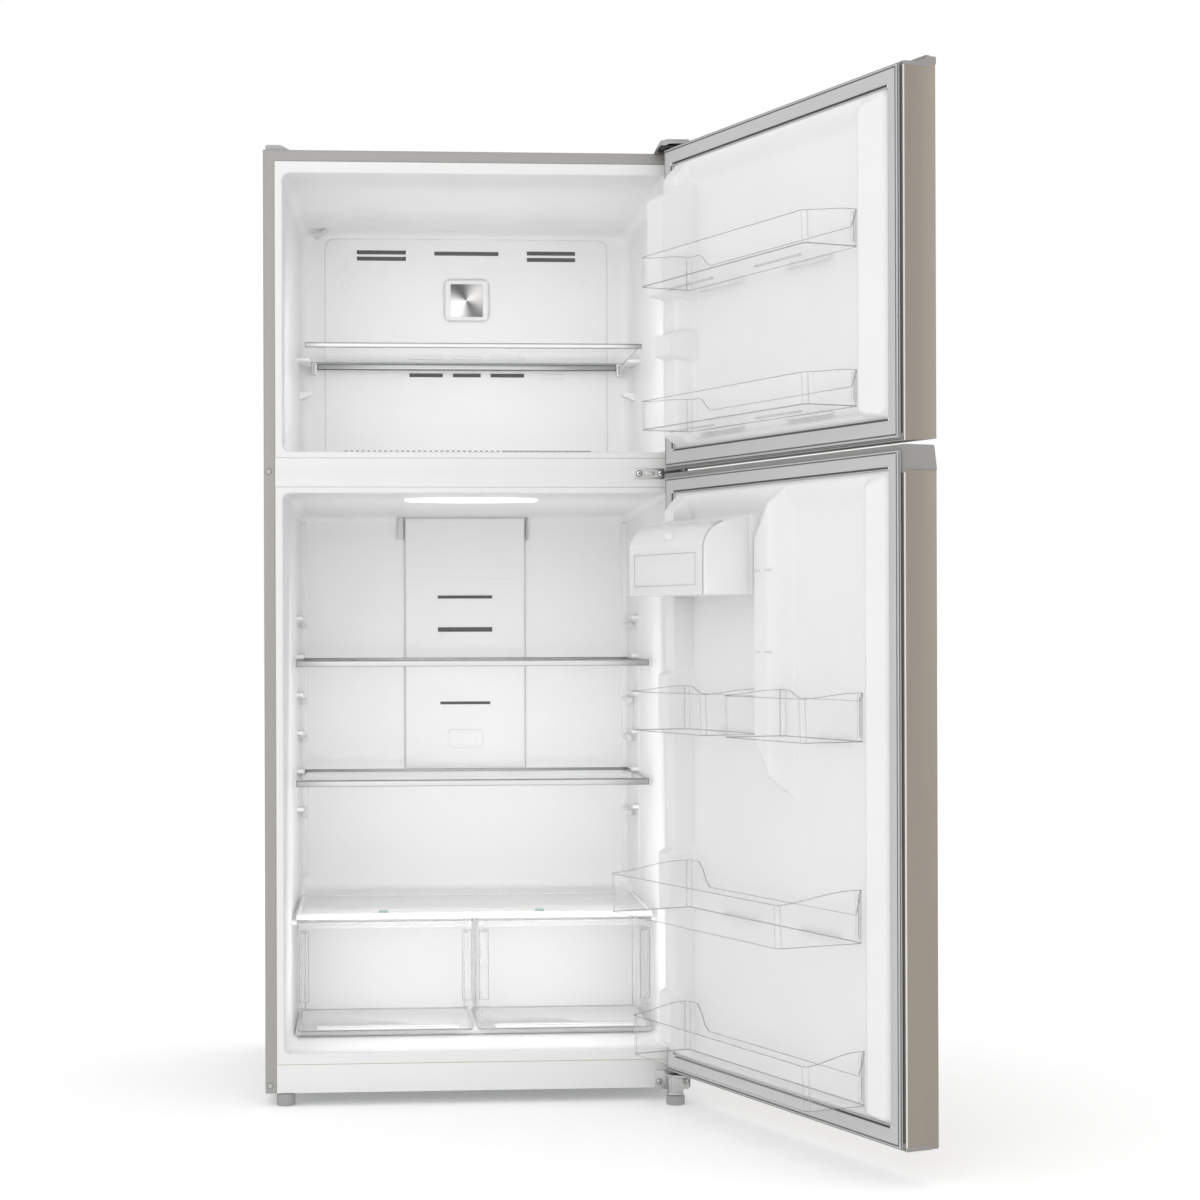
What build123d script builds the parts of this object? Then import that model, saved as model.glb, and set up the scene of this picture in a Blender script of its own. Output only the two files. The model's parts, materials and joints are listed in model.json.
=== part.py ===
from build123d import *
import os
from math import cos, radians, sin

# Top freezer refrigerator with its two doors standing open.
# The model is built in the cabinet's own frame, in millimetres: X to the right seen from the
# front, Y towards the back with the front flange at Y = 0, Z up from the floor, and the doors
# shut. The doors are then turned open about the hinge line, and everything is moved so that
# the origin lies on the floor below the middle of the whole object.

# ---------------------------------------------------------------- driving dimensions
CAB_W = 756.0           # cabinet width
CAB_D = 655.0           # cabinet depth behind the doors
CAB_Z0 = 22.0           # underside of the cabinet
CAB_Z1 = 1691.5         # top of the cabinet
SHEET = 1.2             # steel sheet of the cabinet
FLANGE = 20.0           # front flange of the cabinet shell
HALF = CAB_W / 2
IN_X = HALF - SHEET     # inside of the shell, half width
LINER_T = 2.0           # moulded plastic liner
LINER_X = HALF - FLANGE  # half width of the liner's front frame

FREEZER_Z = (1157.0, 1650.9)    # freezer opening, bottom and top
FREEZER_FRAME_Z = (1145.6, 1671.5)
FREEZER_DEPTH = 560.0
FRIDGE_Z = (90.9, 1083.5)       # fridge opening, bottom and top
FRIDGE_FRAME_Z = (72.0, 1094.6)
FRIDGE_DEPTH = 600.0
OPEN_X = 344.3                  # half width of both openings
FREEZER_REAR = (318.0, 1160.0, 1612.0)  # half width, floor and ceiling at the back
FRIDGE_REAR = (331.0, 94.0, 1071.0)
STEP = [(405.0, 60.0), (430.0, 300.0), (700.0, 332.0), (700.0, 60.0)]  # Y, Z of the rear step
BAY = [(2.0, 22.0), (470.0, 22.0), (492.0, 262.0), (653.8, 286.0)]     # Y, Z of the base pan

OPEN_ANGLE = 111.35     # doors stand this far from shut
HINGE_X = 361.4         # hinge line
HINGE_Y = -31.2
DOOR_IN = -8.2          # inner plane of a shut door
DOOR_T = 58.4           # door thickness
DOOR_OUT = DOOR_IN - DOOR_T
SKIN = 1.0              # steel skin of a door
FREEZER_DOOR_Z = (1122.4, 1692.6)
FRIDGE_DOOR_Z = (56.0, 1117.6)
CAP = 12.0              # plastic end cap of a door
GRIP_CAP = 38.0         # deeper cap with the finger grip on the fridge door
GASKET_W = 27.0
GASKET_T = 7.0
GASKET_INSET = 10.0
DYKE_X = 336.0          # raised rim of a door liner, half width
DYKE_Y = 22.0           # top of the rim
LOW_RIM = [(-345.0, -2.0), (-283.0, 15.0), (-283.0, 40.0), (-345.0, 40.0)]  # X, Y cut away
PANEL_Y = -17.0         # flat of a door liner inside the rim
LINER_EDGE = 14.1       # a liner's plate stops this far inside the door's edge
PIN_R = 5.0
RUN = 0.05              # radial running clearance

SHELF_X = 327.5
SHELF_Y = (206.0, 564.0)
SHELF_TOPS = {"lower_shelf": 561.0, "upper_shelf": 783.6}
GLASS_T = 4.0
RIB_PITCH = 74.2
CRISPER_X = (3.5, 325.5)
CRISPER_Y = (147.0, 405.0)
CRISPER_Z = (105.0, 308.0)
CRISPER_WALL = 2.5
COVER_Z = (310.0, 322.0)    # crisper cover, bottom of its skirt and top
BIN_WALL = 2.4
BIN_BACK = -10.0
SLIDERS = (-168.0, 119.0)   # X of the humidity sliders
FAN_Z = 1487.0              # axis of the freezer fan
FOOT_R = 16.5
FOOT_LEFT = (-342.0, 12.0)  # X, Y
FOOT_RIGHT = (346.0, -40.0)
ROLLER_R = 15.0
ROLLER_Y = 600.0

HINGE_TOP = 1716.0          # top of the upper hinge's cover
HINGE_NOSE = 1707.6         # top of its nose over the door
GAP_Z = (FRIDGE_DOOR_Z[1] + 0.9, FREEZER_DOOR_Z[0] - 0.9)   # leaf of the middle hinge
PLUG_TOP = 1702.0           # plug over the spare hinge holes
FLANGE_PLUGS = (-369.5, (1121.5, 35.5))     # X and both Z

TANK_X = (26.5, 297.0)
TANK_NECK_X = 282.0
TANK_Z = (897.0, 982.0)
TANK_FRONT = 108.8
NICHE_X = (95.0, 235.0)     # dispenser niche in the fridge door's outer face
NICHE_Z = (742.0, 892.0)
NICHE_Y = DOOR_OUT + 40
LEVER_Y = NICHE_Y - 12
LEVER_Z = NICHE_Z[1] - 40

BINS = {  # x0, x1, front, bottom, front top, end top, back top
    "freezer_bin_upper": (-268.5, 268.5, 99.8, 1428.5, 1479.0, 1486.0, 1462.0),
    "freezer_bin_lower": (-268.5, 268.5, 99.8, 1183.0, 1232.0, 1239.0, 1215.0),
    "door_bin_left": (26.5, 281.6, 113.8, 667.5, 734.5, 742.5, 712.0),
    "door_bin_right": (-281.6, -40.5, 113.8, 667.5, 734.5, 742.5, 712.0),
    "door_bin_middle": (-276.0, 276.0, 155.8, 358.0, 424.0, 441.0, 400.0),
    "door_bin_bottom": (-283.0, 283.0, 110.8, 110.0, 178.0, 196.0, 154.0),
}
FREEZER_SHAPE = {
    "zone": (FREEZER_DOOR_Z[0] + 38.6, FREEZER_DOOR_Z[1] - 42.0),
    "well": (271.0, 284.0),         # half width at the flat and at the rim
    "pads": [(270.0, 52.0, 1418.0, 1530.0), (270.0, 52.0, 1173.0, 1285.0)],
}
FRIDGE_SHAPE = {
    "zone": (FRIDGE_DOOR_Z[0] + 38.0, FRIDGE_DOOR_Z[1] - 40.0),
    "well": (286.0, 290.0),
    "pads": [(285.0, 38.0, 655.0, 770.0), (285.0, 38.0, 345.0, 460.0),
             (287.0, 38.0, 110.0, 215.0)],
    "ridge": (-38.6, 24.6, 571.0, 652.0, 1045.0),   # X range, tip, left foot, top
}


# ---------------------------------------------------------------- helpers
def box(x0, x1, y0, y1, z0, z1):
    """Box between two corners."""
    x, y, z = (x0 + x1) / 2, (y0 + y1) / 2, (z0 + z1) / 2
    return Pos(x, y, z) * Box(abs(x1 - x0), abs(y1 - y0), abs(z1 - z0))


def rod(x, y, z0, z1, r):
    """Upright cylinder."""
    return Pos(x, y, (z0 + z1) / 2) * Cylinder(r, z1 - z0)


def rod_x(x0, x1, y, z, r):
    """Cylinder along X."""
    return Pos((x0 + x1) / 2, y, z) * Rot(0, 90, 0) * Cylinder(r, x1 - x0)


def rod_y(x, y0, y1, z, r):
    """Cylinder along Y."""
    return Pos(x, (y0 + y1) / 2, z) * Rot(90, 0, 0) * Cylinder(r, y1 - y0)


def prism_x(points, x0, x1):
    """Outline in Y, Z pulled along X from x0 to x1."""
    face = Plane.YZ * make_face(Polyline(*points, close=True))
    return Pos(x0, 0, 0) * extrude(face, amount=x1 - x0, dir=(1, 0, 0))


def prism_y(points, y0, y1):
    """Outline in X, Z pulled along Y from y0 to y1."""
    face = Plane.XZ * make_face(Polyline(*points, close=True))
    return Pos(0, y0, 0) * extrude(face, amount=y1 - y0, dir=(0, 1, 0))


def section(y, half_x, z0, z1, radius):
    """Rounded rectangle in X, Z at depth y."""
    flat = Pos(0, (z0 + z1) / 2) * RectangleRounded(2 * half_x, z1 - z0, radius)
    return Plane.XZ.offset(-y) * flat


def tunnel(y0, front, y1, rear, radius, grow=0.0):
    """Tapered cavity from one rounded rectangle to another, grown by a wall."""
    a = section(y0, front[0] + grow, front[1] - grow, front[2] + grow, radius + grow)
    b = section(y1, rear[0] + grow, rear[1] - grow, rear[2] + grow, radius + grow)
    return loft([a, b], ruled=True)


def prism_z(points, z0, z1):
    """Outline in X, Y pulled along Z from z0 to z1."""
    return Pos(0, 0, z0) * extrude(make_face(Polyline(*points, close=True)), amount=z1 - z0)


def row(fn, values):
    """Union of one shape made for each value."""
    shape = fn(values[0])
    for value in values[1:]:
        shape += fn(value)
    return shape


# ---------------------------------------------------------------- cabinet
def cabinet_shell():
    shell = box(-HALF, HALF, 0, CAB_D, CAB_Z0, CAB_Z1)
    shell -= box(-IN_X, IN_X, SHEET, CAB_D + 1, CAB_Z0 - 1, CAB_Z1 - SHEET)
    return shell - box(-LINER_X, LINER_X, -1, SHEET + 1, CAB_Z0 - 1, FREEZER_FRAME_Z[1])


def bay_line(offset):
    """Base pan line raised by an offset."""
    return [(y, z + offset) for y, z in BAY]


def base_pan():
    pan = prism_x(bay_line(0) + bay_line(SHEET)[::-1], -IN_X, IN_X)
    pan -= rod(FOOT_LEFT[0], FOOT_LEFT[1], CAB_Z0 - 1, CAB_Z0 + SHEET + 1, PIN_R + RUN)
    tray = box(-IN_X, IN_X, 505, 645, 32, 34)
    for side in (-1, 1):
        near, far = side * 290, side * 328
        for edge in (near, far):
            tray += box(edge, edge + side * 2, 588, 612, 8, 32)
        tray += rod_x(min(near, far), max(near, far), ROLLER_Y, ROLLER_R, 4.0)
    return Compound([pan, tray])


def cabinet_foam(liner_blocks):
    outline = bay_line(SHEET) + [(CAB_D - SHEET, CAB_Z1 - SHEET), (SHEET, CAB_Z1 - SHEET)]
    outline[0] = (SHEET, CAB_Z0 + SHEET)
    foam = prism_x(outline, -IN_X, IN_X)
    for block in liner_blocks:
        foam -= block
    return foam - rod(FOOT_LEFT[0], FOOT_LEFT[1], CAB_Z0, CAB_Z0 + 20, 8.0)


def freezer_volume(grow=0.0):
    front = (OPEN_X, *FREEZER_Z)
    y0, y1 = (0.0, FREEZER_DEPTH) if grow == 0 else (SHEET, FREEZER_DEPTH + grow)
    return tunnel(y0, front, y1, FREEZER_REAR, 14.0, grow)


def fridge_volume(grow=0.0):
    front = (OPEN_X, *FRIDGE_Z)
    y0, y1 = (0.0, FRIDGE_DEPTH) if grow == 0 else (SHEET, FRIDGE_DEPTH + grow)
    step = Pos(0, grow, -grow) * prism_x(STEP, -400, 400)
    return tunnel(y0, front, y1, FRIDGE_REAR, 12.0, grow) - step


def front_frame(z_range, volume):
    frame = box(-LINER_X, LINER_X, 0, SHEET, z_range[0], z_range[1])
    return frame - volume


def freezer_liner():
    cavity = freezer_volume()
    block = freezer_volume(LINER_T)
    liner = block - cavity
    liner += front_frame(FREEZER_FRAME_Z, cavity)
    for z, inner in ((1218.0, 313), (1289.0, 313), (1359.9, 300)):
        for side in (-1, 1):
            liner += box(side * inner, side * 350, 150, 430, z - 9, z) & block
    return liner, block


def fridge_liner():
    cavity = fridge_volume()
    block = fridge_volume(LINER_T)
    liner = block - cavity
    liner += front_frame(FRIDGE_FRAME_Z, cavity)
    rib_tops = [SHELF_TOPS["lower_shelf"] - GLASS_T + RIB_PITCH * k for k in range(-1, 5)]
    for side in (-1, 1):
        for z in rib_tops:
            liner += box(side * 316, side * 350, 230, 575, z - 11, z) & block
        liner += box(side * 315.5, side * 350, 575, 620, 340, 1060) & block
        for x in (90, 240):
            runner = box(side * (x - 6), side * (x + 6), 170, 390, 80, CRISPER_Z[0] - 0.2)
            liner += runner & block
        liner += box(side * 326.2, side * 350, 160, 460, 300, COVER_Z[0] - 0.2) & block
    return liner, block


def duct_tray(half_x, y0, y1, z0, z1, radius, wall):
    """Shallow tray with its mouth to the back."""
    tray = extrude(section(y0, half_x, z0, z1, radius), amount=y1 - y0, dir=(0, 1, 0))
    hollow = section(y0 + wall, half_x - wall, z0 + wall, z1 - wall, radius - wall)
    return tray - extrude(hollow, amount=y1 - y0, dir=(0, 1, 0))


def slot(x0, x1, z, y0, y1, height=6.0):
    return box(x0, x1, y0, y1, z - height / 2, z + height / 2)


def freezer_duct_panel():
    flange = box(-312, 312, 487, 490, 1164, 1608) - box(-274, 274, 480, 495, 1170, 1600)
    panel = duct_tray(277.0, 462.0, 490.0, 1164.0, 1607.0, 20.0, 3.0) + flange
    for z in (1581.5, 1569.5):
        panel -= slot(-214.8, -119.0, z, 455, 470)
        panel -= slot(119.0, 214.8, z, 455, 470)
    panel -= slot(-63.2, 63.2, 1580.5, 455, 470)
    for x0, x1 in ((-113.0, -47.0), (-27.5, 27.5), (47.0, 113.0)):
        panel -= slot(x0, x1, 1341.0, 455, 470)
    return panel


def emblem_badge():
    frame = extrude(section(457.0, 45.0, 1445.5, 1530.0, 14.0), amount=4.9, dir=(0, 1, 0))
    plate = extrude(section(455.5, 31.5, 1455.0, 1519.0, 2.0), amount=1.5, dir=(0, 1, 0))
    return frame + plate


def fan_motor():
    motor = rod_y(0, 488, 530, FAN_Z, 27.0) + rod_y(0, 470, 488, FAN_Z, 3.0)
    for side in (-1, 1):
        motor += box(side * 20, side * 290, 490.2, 494, FAN_Z - 7, FAN_Z + 7)
    return motor


def evaporator_fan():
    hub = rod_y(0, 469, 485, FAN_Z, 16.0)
    for k in range(5):
        blade = Pos(0, 477, FAN_Z) * Rot(0, 72 * k, 0) * Pos(0, 0, 31)
        hub += blade * Rot(0, 0, 32) * Box(26, 2.2, 36)
    return hub - rod_y(0, 460, 495, FAN_Z, 3.0 + RUN)


def evaporator_coil():
    coil = row(lambda k: box(-232 + 24 * k, -231 + 24 * k, 502, 548, 1190, 1400), range(20))
    coil += row(lambda z: rod_x(-240, 240, 515, z, 4.0), range(1205, 1400, 30))
    coil += row(lambda z: rod_x(-240, 240, 535, z, 4.0), range(1205, 1400, 30))
    for side in (-1, 1):
        coil += box(side * 238, side * 240, 498, FREEZER_DEPTH - 0.2, 1185, 1405)
    return coil


def fridge_duct_panel():
    panel = duct_tray(120.4, 588.0, 599.8, 563.0, 1066.0, 6.0, 2.5)
    for z in (906.8, 841.2):
        panel -= slot(-55, 55, z, 580, 595)
    panel -= slot(-50.5, 50.5, 693.0, 580, 595)
    cover = extrude(section(585.0, 35.5, 603.0, 640.0, 6.0), amount=3.0, dir=(0, 1, 0))
    return panel + cover


def fridge_light_lens():
    return Pos(0, 128, 1075.8) * extrude(Ellipse(130, 62), amount=12) & fridge_volume()


def crisper_cover():
    low, top = COVER_Z
    cover = box(-327, 327, 140, 468, top - 4, top)
    cover += box(-327, 327, 140, 146, low, top)
    for side in (-1, 1):
        cover += box(side * 325, side * 327, 146, 460, low, top)
    cover += box(-1.6, 1.6, 160, 400, 250, top)
    for x in SLIDERS:
        cover -= box(x - 32, x + 32, 151, 155, top - 10, top + 1)
    return cover


def humidity_slider(x):
    knob = box(x - 8, x + 8, 148.5, 157.5, 322.2, 326.0)
    neck = box(x - 7, x + 7, 151.4, 154.6, 317.5, 322.4)
    clip = box(x - 8, x + 8, 149.5, 156.5, 315.8, 317.8)
    return knob + neck + clip


def mullion_cover():
    return box(-LINER_X, LINER_X, 0, SHEET, FRIDGE_FRAME_Z[1], FREEZER_FRAME_Z[0])


def kick_panel():
    return box(-LINER_X, LINER_X, 0, SHEET, CAB_Z0, FRIDGE_FRAME_Z[0])


def back_panel():
    return box(-IN_X, IN_X, CAB_D - SHEET, CAB_D, BAY[-1][1] + SHEET, CAB_Z1 - SHEET)


def compressor_cover():
    cover = box(-IN_X, IN_X, CAB_D - SHEET, CAB_D, 36, BAY[-1][1])
    for x in range(-300, 301, 60):
        for z in (90, 130, 170, 210):
            cover -= box(x - 20, x + 20, CAB_D - 5, CAB_D + 5, z, z + 8)
    return cover


def compressor():
    x, y = -190.0, 572.0
    body = rod(x, y, 52, 190, 66.0)
    body = fillet(body.edges().filter_by(GeomType.CIRCLE), 24)
    body += box(x - 84, x + 84, y - 55, y + 55, 46, 50) + rod(x, y, 50, 60, 40.0)
    for dx in (-70, 70):
        for dy in (-42, 42):
            body += rod(x + dx, y + dy, 34, 46, 9.0)
    return body


def condenser_coil():
    levels = [90 + 22 * k for k in range(7)]
    coil = row(lambda z: rod_x(20, 330, 575, z, 3.2), levels)
    coil += row(lambda z: rod_x(20, 330, 605, z, 3.2), levels)
    coil += row(lambda k: box(30 + 18 * k, 30.8 + 18 * k, 560, 620, 82, 230), range(17))
    for x in (20, 328):
        coil += box(x, x + 2, 541, 639, 60, 240)
    return coil


def drain_pan():
    pan = box(15, 345, 540, 640, 34, 60)
    return pan - box(17, 343, 542, 638, 36, 61)


# ---------------------------------------------------------------- hinges, feet and rollers


def top_hinge_bracket():
    leaf_z = FREEZER_DOOR_Z[1] + 1.0
    leaf = box(326, 371, -44, 70, leaf_z, leaf_z + 3)
    leaf += box(326, 371, 8, 70, CAB_Z1, leaf_z)
    leaf += rod(HINGE_X, HINGE_Y, FREEZER_DOOR_Z[1] - CAP + 1, leaf_z, PIN_R)
    return leaf


def middle_hinge_bracket():
    leaf = box(281, 334, -3, 0, 1109, 1128)
    leaf += box(332.5, 374, -46, 0, GAP_Z[0], GAP_Z[1])
    leaf += rod(HINGE_X, HINGE_Y, GAP_Z[0] - 13, GAP_Z[1] + 11.5, PIN_R)
    return leaf


def bottom_hinge_bracket():
    plate = box(314, 376, -3, 0, 19, 53)
    arm = box(330, 374, -58, -3, 49, 53)
    arm += rod(HINGE_X, HINGE_Y, 53, FRIDGE_DOOR_Z[0] + CAP - 2, PIN_R)
    x, y = FOOT_RIGHT
    cup = box(x - 12.5, x + 12.5, y - 12.5, -3, 17, 49)
    cup -= rod(x, y, 16, 42, PIN_R + RUN)
    return plate + arm + cup


def hinge_hood(top, y0, y1, inset=0.0):
    """Hood over a hinge leaf with one slanted side, shrunk by its wall."""
    t, low = inset, CAB_Z1 - inset
    return prism_y([(316 + 1.5 * t, low), (330 + t, top - t), (377 - t, top - t), (377 - t, low)],
                   y0 + t, y1 - t)


def hinge_covers():
    """Cover of the top hinge, plug of the spare hinge holes, and two flange plugs."""
    wall, nose, rear = 2.0, (-49, 12), (4.5, 78)
    cover = hinge_hood(HINGE_TOP, *rear) + hinge_hood(HINGE_NOSE, *nose)
    cover -= hinge_hood(HINGE_TOP, *rear, wall) + hinge_hood(HINGE_NOSE, *nose, wall)
    cover -= box(300, 400, -60, 4, CAB_Z1 - 1, FREEZER_DOOR_Z[1] + 0.6)
    plug = prism_y([(-375, CAB_Z1), (-373, PLUG_TOP), (-346, PLUG_TOP), (-328, CAB_Z1)], 12, 62)
    x, levels = FLANGE_PLUGS
    return Compound([cover, plug] + [rod_y(x, -1.8, 0, z, 4.2) for z in levels])


def hinge_screws():
    heads = [rod_y(x, -5.2, -3, 1119.0, 4.3) for x in (289.0, 327.6)]
    heads += [rod_y(x, -5.2, -3, 33.0, 4.3) for x in (322.0, 369.5)]
    top = FREEZER_DOOR_Z[1] + 4.0
    heads += [rod(336, y, top, top + 3.0, 5.0) for y in (24, 56)]
    return Compound(heads)


def foot(x, y, top, reach):
    knob = rod(x, y, 0, top, FOOT_R) + rod(x, y, top, reach, PIN_R)
    for k in range(16):
        groove = Pos(x, y, top / 2 + 2) * Rot(0, 0, 22.5 * k) * Pos(FOOT_R + 0.6, 0, 0)
        knob -= groove * Cylinder(1.6, top)
    return knob


def roller(side):
    x0, x1 = sorted((side * 293.5, side * 326.5))
    wheel = rod_x(x0, x1, ROLLER_Y, ROLLER_R, ROLLER_R)
    return wheel - rod_x(x0 - 1, x1 + 1, ROLLER_Y, ROLLER_R, 4.0 + RUN)


# ---------------------------------------------------------------- shelves and crispers
def shelf_glass(top):
    return box(-SHELF_X, SHELF_X, *SHELF_Y, top - GLASS_T, top)


def shelf_trims(top):
    front = box(-328.5, 328.5, 200, 214, top - 11, top + 1) - shelf_glass(top)
    rear = box(-SHELF_X, SHELF_X, 564, 570, top - GLASS_T, top + 1)
    return Compound([front, rear])


def freezer_shelf():
    glass = box(-307, 307, 128, 446, 1360.2, 1364.5)
    front = box(-308.3, 308.3, 124, 138, 1354.0, 1365.5) - glass
    rear = box(-293, 293, 434, 450, 1349.0, 1360.2)
    return glass, Compound([front, rear])


def crisper(side):
    x0, x1 = CRISPER_X
    y0, y1 = CRISPER_Y
    z0, z1 = CRISPER_Z
    mid = (x0 + x1) / 2
    outer = Pos(mid, (z0 + z1) / 2) * Rectangle(x1 - x0, z1 - z0)
    outer = fillet(outer.vertices().group_by(Axis.Y)[0], 12)
    w, t = CRISPER_WALL, x1 - x0
    inner = Pos(mid, (z0 + z1) / 2 + w) * Rectangle(t - 2 * w, z1 - z0)
    inner = fillet(inner.vertices().group_by(Axis.Y)[0], 9)
    drawer = Pos(0, y0, 0) * extrude(Plane.XZ * outer, amount=y1 - y0, dir=(0, 1, 0))
    drawer -= Pos(0, y0 + w, 0) * extrude(Plane.XZ * inner, amount=y1 - y0 - 2 * w,
                                          dir=(0, 1, 0))
    drawer += box(x0, x1, y0 - 9, y0, z1 - 11, z1) - box(x0 - 1, x1 + 1, y0 - 7, y0,
                                                        z1 - 12, z1 - 2.5)
    return drawer if side > 0 else mirror(drawer, Plane.YZ)


# ---------------------------------------------------------------- doors, modelled shut
def door_skin(z0, z1):
    skin = box(-HALF, HALF, DOOR_OUT, DOOR_IN, z0, z1)
    skin -= box(-HALF + SKIN, HALF - SKIN, DOOR_OUT + SKIN, DOOR_IN - SKIN, z0 - 1, z1 + 1)
    return skin - box(-HALF + 14, HALF - 14, DOOR_IN - 5, DOOR_IN + 5, z0 - 1, z1 + 1)


def door_body(z0, z1, shape, wall):
    """All that lies behind the moulded surface of a door liner, shrunk by a wall."""
    t = wall
    low, high = shape["zone"]
    foot, rim_in = shape["well"]
    edge = HALF - LINER_EDGE
    body = box(-edge, edge, DOOR_OUT + SKIN, DOOR_IN - t, z0 + CAP, z1 - CAP)
    rim = tunnel(DOOR_IN - 3, (DYKE_X + 4 - t, low + t, high - t), DYKE_Y - t,
                 (DYKE_X - t, low + 4 + t, high - 4 - t), 14.0)
    body += rim - Pos(0, -t, 0) * prism_z(LOW_RIM, low, high)
    body -= tunnel(PANEL_Y - t, (foot + t, low + 14 - t, high - 44 + t), DYKE_Y + 1,
                   (rim_in + t, low + 9 - t, high - 14 + t), 10.0)
    for half_x, depth, za, zb in shape["pads"]:
        a, b = half_x + t, DYKE_X - 2 - t
        outline = [(a, za + t), (b, za + t), (b, zb - t), (a, min(zb + 40, high - 6) - t)]
        body += prism_y(outline, PANEL_Y - 3, depth - t)
    if "ridge" in shape:
        x0, x1, tip, foot_z, top = shape["ridge"]
        outline = [(x1 - t, top), (x1 - t, foot_z + t), (x0 + t, tip + t), (x0 + t, top)]
        body += prism_y(outline, PANEL_Y - 3, DYKE_Y - t)
    return body


def door_liner(z0, z1, shape, ledges):
    liner = door_body(z0, z1, shape, 0.0) - door_body(z0, z1, shape, LINER_T)
    for x0, x1, z in ledges:
        liner += box(x0, x1, PANEL_Y - 1, 12, z - 6, z - 0.3)
    return liner


def door_foam(z0, z1, top, shape):
    inside = box(-HALF + SKIN, HALF - SKIN, DOOR_OUT + SKIN, DYKE_Y, z0 + CAP, top)
    foam = box(-HALF + SKIN, HALF - SKIN, DOOR_OUT + SKIN, -25, z0 + CAP, top)
    return foam + (door_body(z0, z1, shape, LINER_T) & inside)


def door_gasket(z0, z1):
    x, w = HALF - GASKET_INSET, GASKET_W
    a, b = z0 + GASKET_INSET, z1 - GASKET_INSET
    ring = box(-x, x, DOOR_IN, DOOR_IN + GASKET_T, a, b)
    return ring - box(-x + w, x - w, DOOR_IN - 1, DOOR_IN + 10, a + w, b - w)


def pin_hole(z0, z1):
    return rod(HINGE_X, HINGE_Y, z0, z1, PIN_R + RUN)


def bin_shape(x0, x1, front, z0, z_front, z_end, z_back):
    """Open door bin: ends that rise to the door, and a lower wall against the door."""
    back, w = BIN_BACK, BIN_WALL
    shape = prism_x([(back, z0), (front, z0), (front, z_front), (back, z_end)], x0, x1)
    shape -= box(x0 + w, x1 - w, back + w, front - w, z0 + w, z_end + 5)
    return shape - box(x0 + 48, x1 - 48, back - 1, back + w + 1, z_back, z_end + 5)


def tank_plan(z0, z1, inset=0.0):
    """Plan of the tank: narrow where it passes the liner's rim, wider in front of it."""
    t = inset
    x0, x1 = TANK_X
    back, step = PANEL_Y + 0.5, DYKE_Y + 2
    plan = [(x0 + t, back + t), (TANK_NECK_X - t, back + t), (TANK_NECK_X - t, step + t),
            (x1 - t, step + t), (x1 - t, TANK_FRONT + 1), (x0 + t, TANK_FRONT + 1)]
    return prism_z(plan, z0, z1)


def water_tank():
    z0, z1 = TANK_Z
    outer = tank_plan(z0, z1) & box(-400, 400, -100, TANK_FRONT - 3, z0, z1)
    inner = tank_plan(z0 + 2.5, z1 + 1, 2.5) & box(-400, 400, -100, TANK_FRONT - 5.5, z0, z1 + 1)
    return outer - inner


def tank_lid():
    z0, z1 = TANK_Z
    back, front = PANEL_Y + 0.5, TANK_FRONT
    rim = [(back, z1 + 0.3), (front - 2.6, z1 + 0.3), (front - 2.6, z0), (front, z0),
           (front, z1), (96, 1000), (60, 1014), (19, 1030), (back, 1030)]
    hollow = [(back + 3, z1 - 1), (front - 3, z1 - 1), (93, 998), (59, 1011), (18, 1027),
              (back + 3, 1027)]
    lid = prism_x(rim, *TANK_X) & tank_plan(z0, 1040)
    return lid - (prism_x(hollow, *TANK_X) & tank_plan(z0, 1040, 2.5))


def niche_housing():
    (x0, x1), (z0, z1) = NICHE_X, NICHE_Z
    shell = box(x0 - 2, x1 + 2, DOOR_OUT + SKIN, NICHE_Y + 2, z0 - 2, z1 + 2)
    shell += box(x0 - 10, x1 + 10, DOOR_OUT - 3, DOOR_OUT, z0 - 10, z1 + 10)
    shell += box(x0 - 2, x1 + 2, DOOR_OUT - 1, DOOR_OUT + 3, z0 - 2, z1 + 2)
    shell -= box(x0, x1, DOOR_OUT - 5, NICHE_Y, z0, z1)
    mid = (x0 + x1) / 2
    return shell + rod(mid, DOOR_OUT + 20, z1 - 26, z1, 8.0)


def dispenser_lever():
    mid = sum(NICHE_X) / 2
    lever = box(mid - 20, mid + 20, LEVER_Y, LEVER_Y + 4, NICHE_Z[0] + 30, LEVER_Z)
    return lever + rod_x(NICHE_X[0] + 0.3, NICHE_X[1] - 0.3, LEVER_Y + 2, LEVER_Z, 3.0)


def drip_tray():
    (x0, x1), z0 = NICHE_X, NICHE_Z[0]
    tray = box(x0 + 3, x1 - 3, DOOR_OUT - 1, NICHE_Y - 3, z0 + 0.3, z0 + 10)
    tray -= box(x0 + 5, x1 - 5, DOOR_OUT + 1, NICHE_Y - 5, z0 + 2, z0 + 11)
    bars = row(lambda x: box(x, x + 2.5, DOOR_OUT + 0.5, NICHE_Y - 4.5, z0 + 7, z0 + 10),
               [x0 + 14 + 12 * k for k in range(10)])
    return tray + bars


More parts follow.
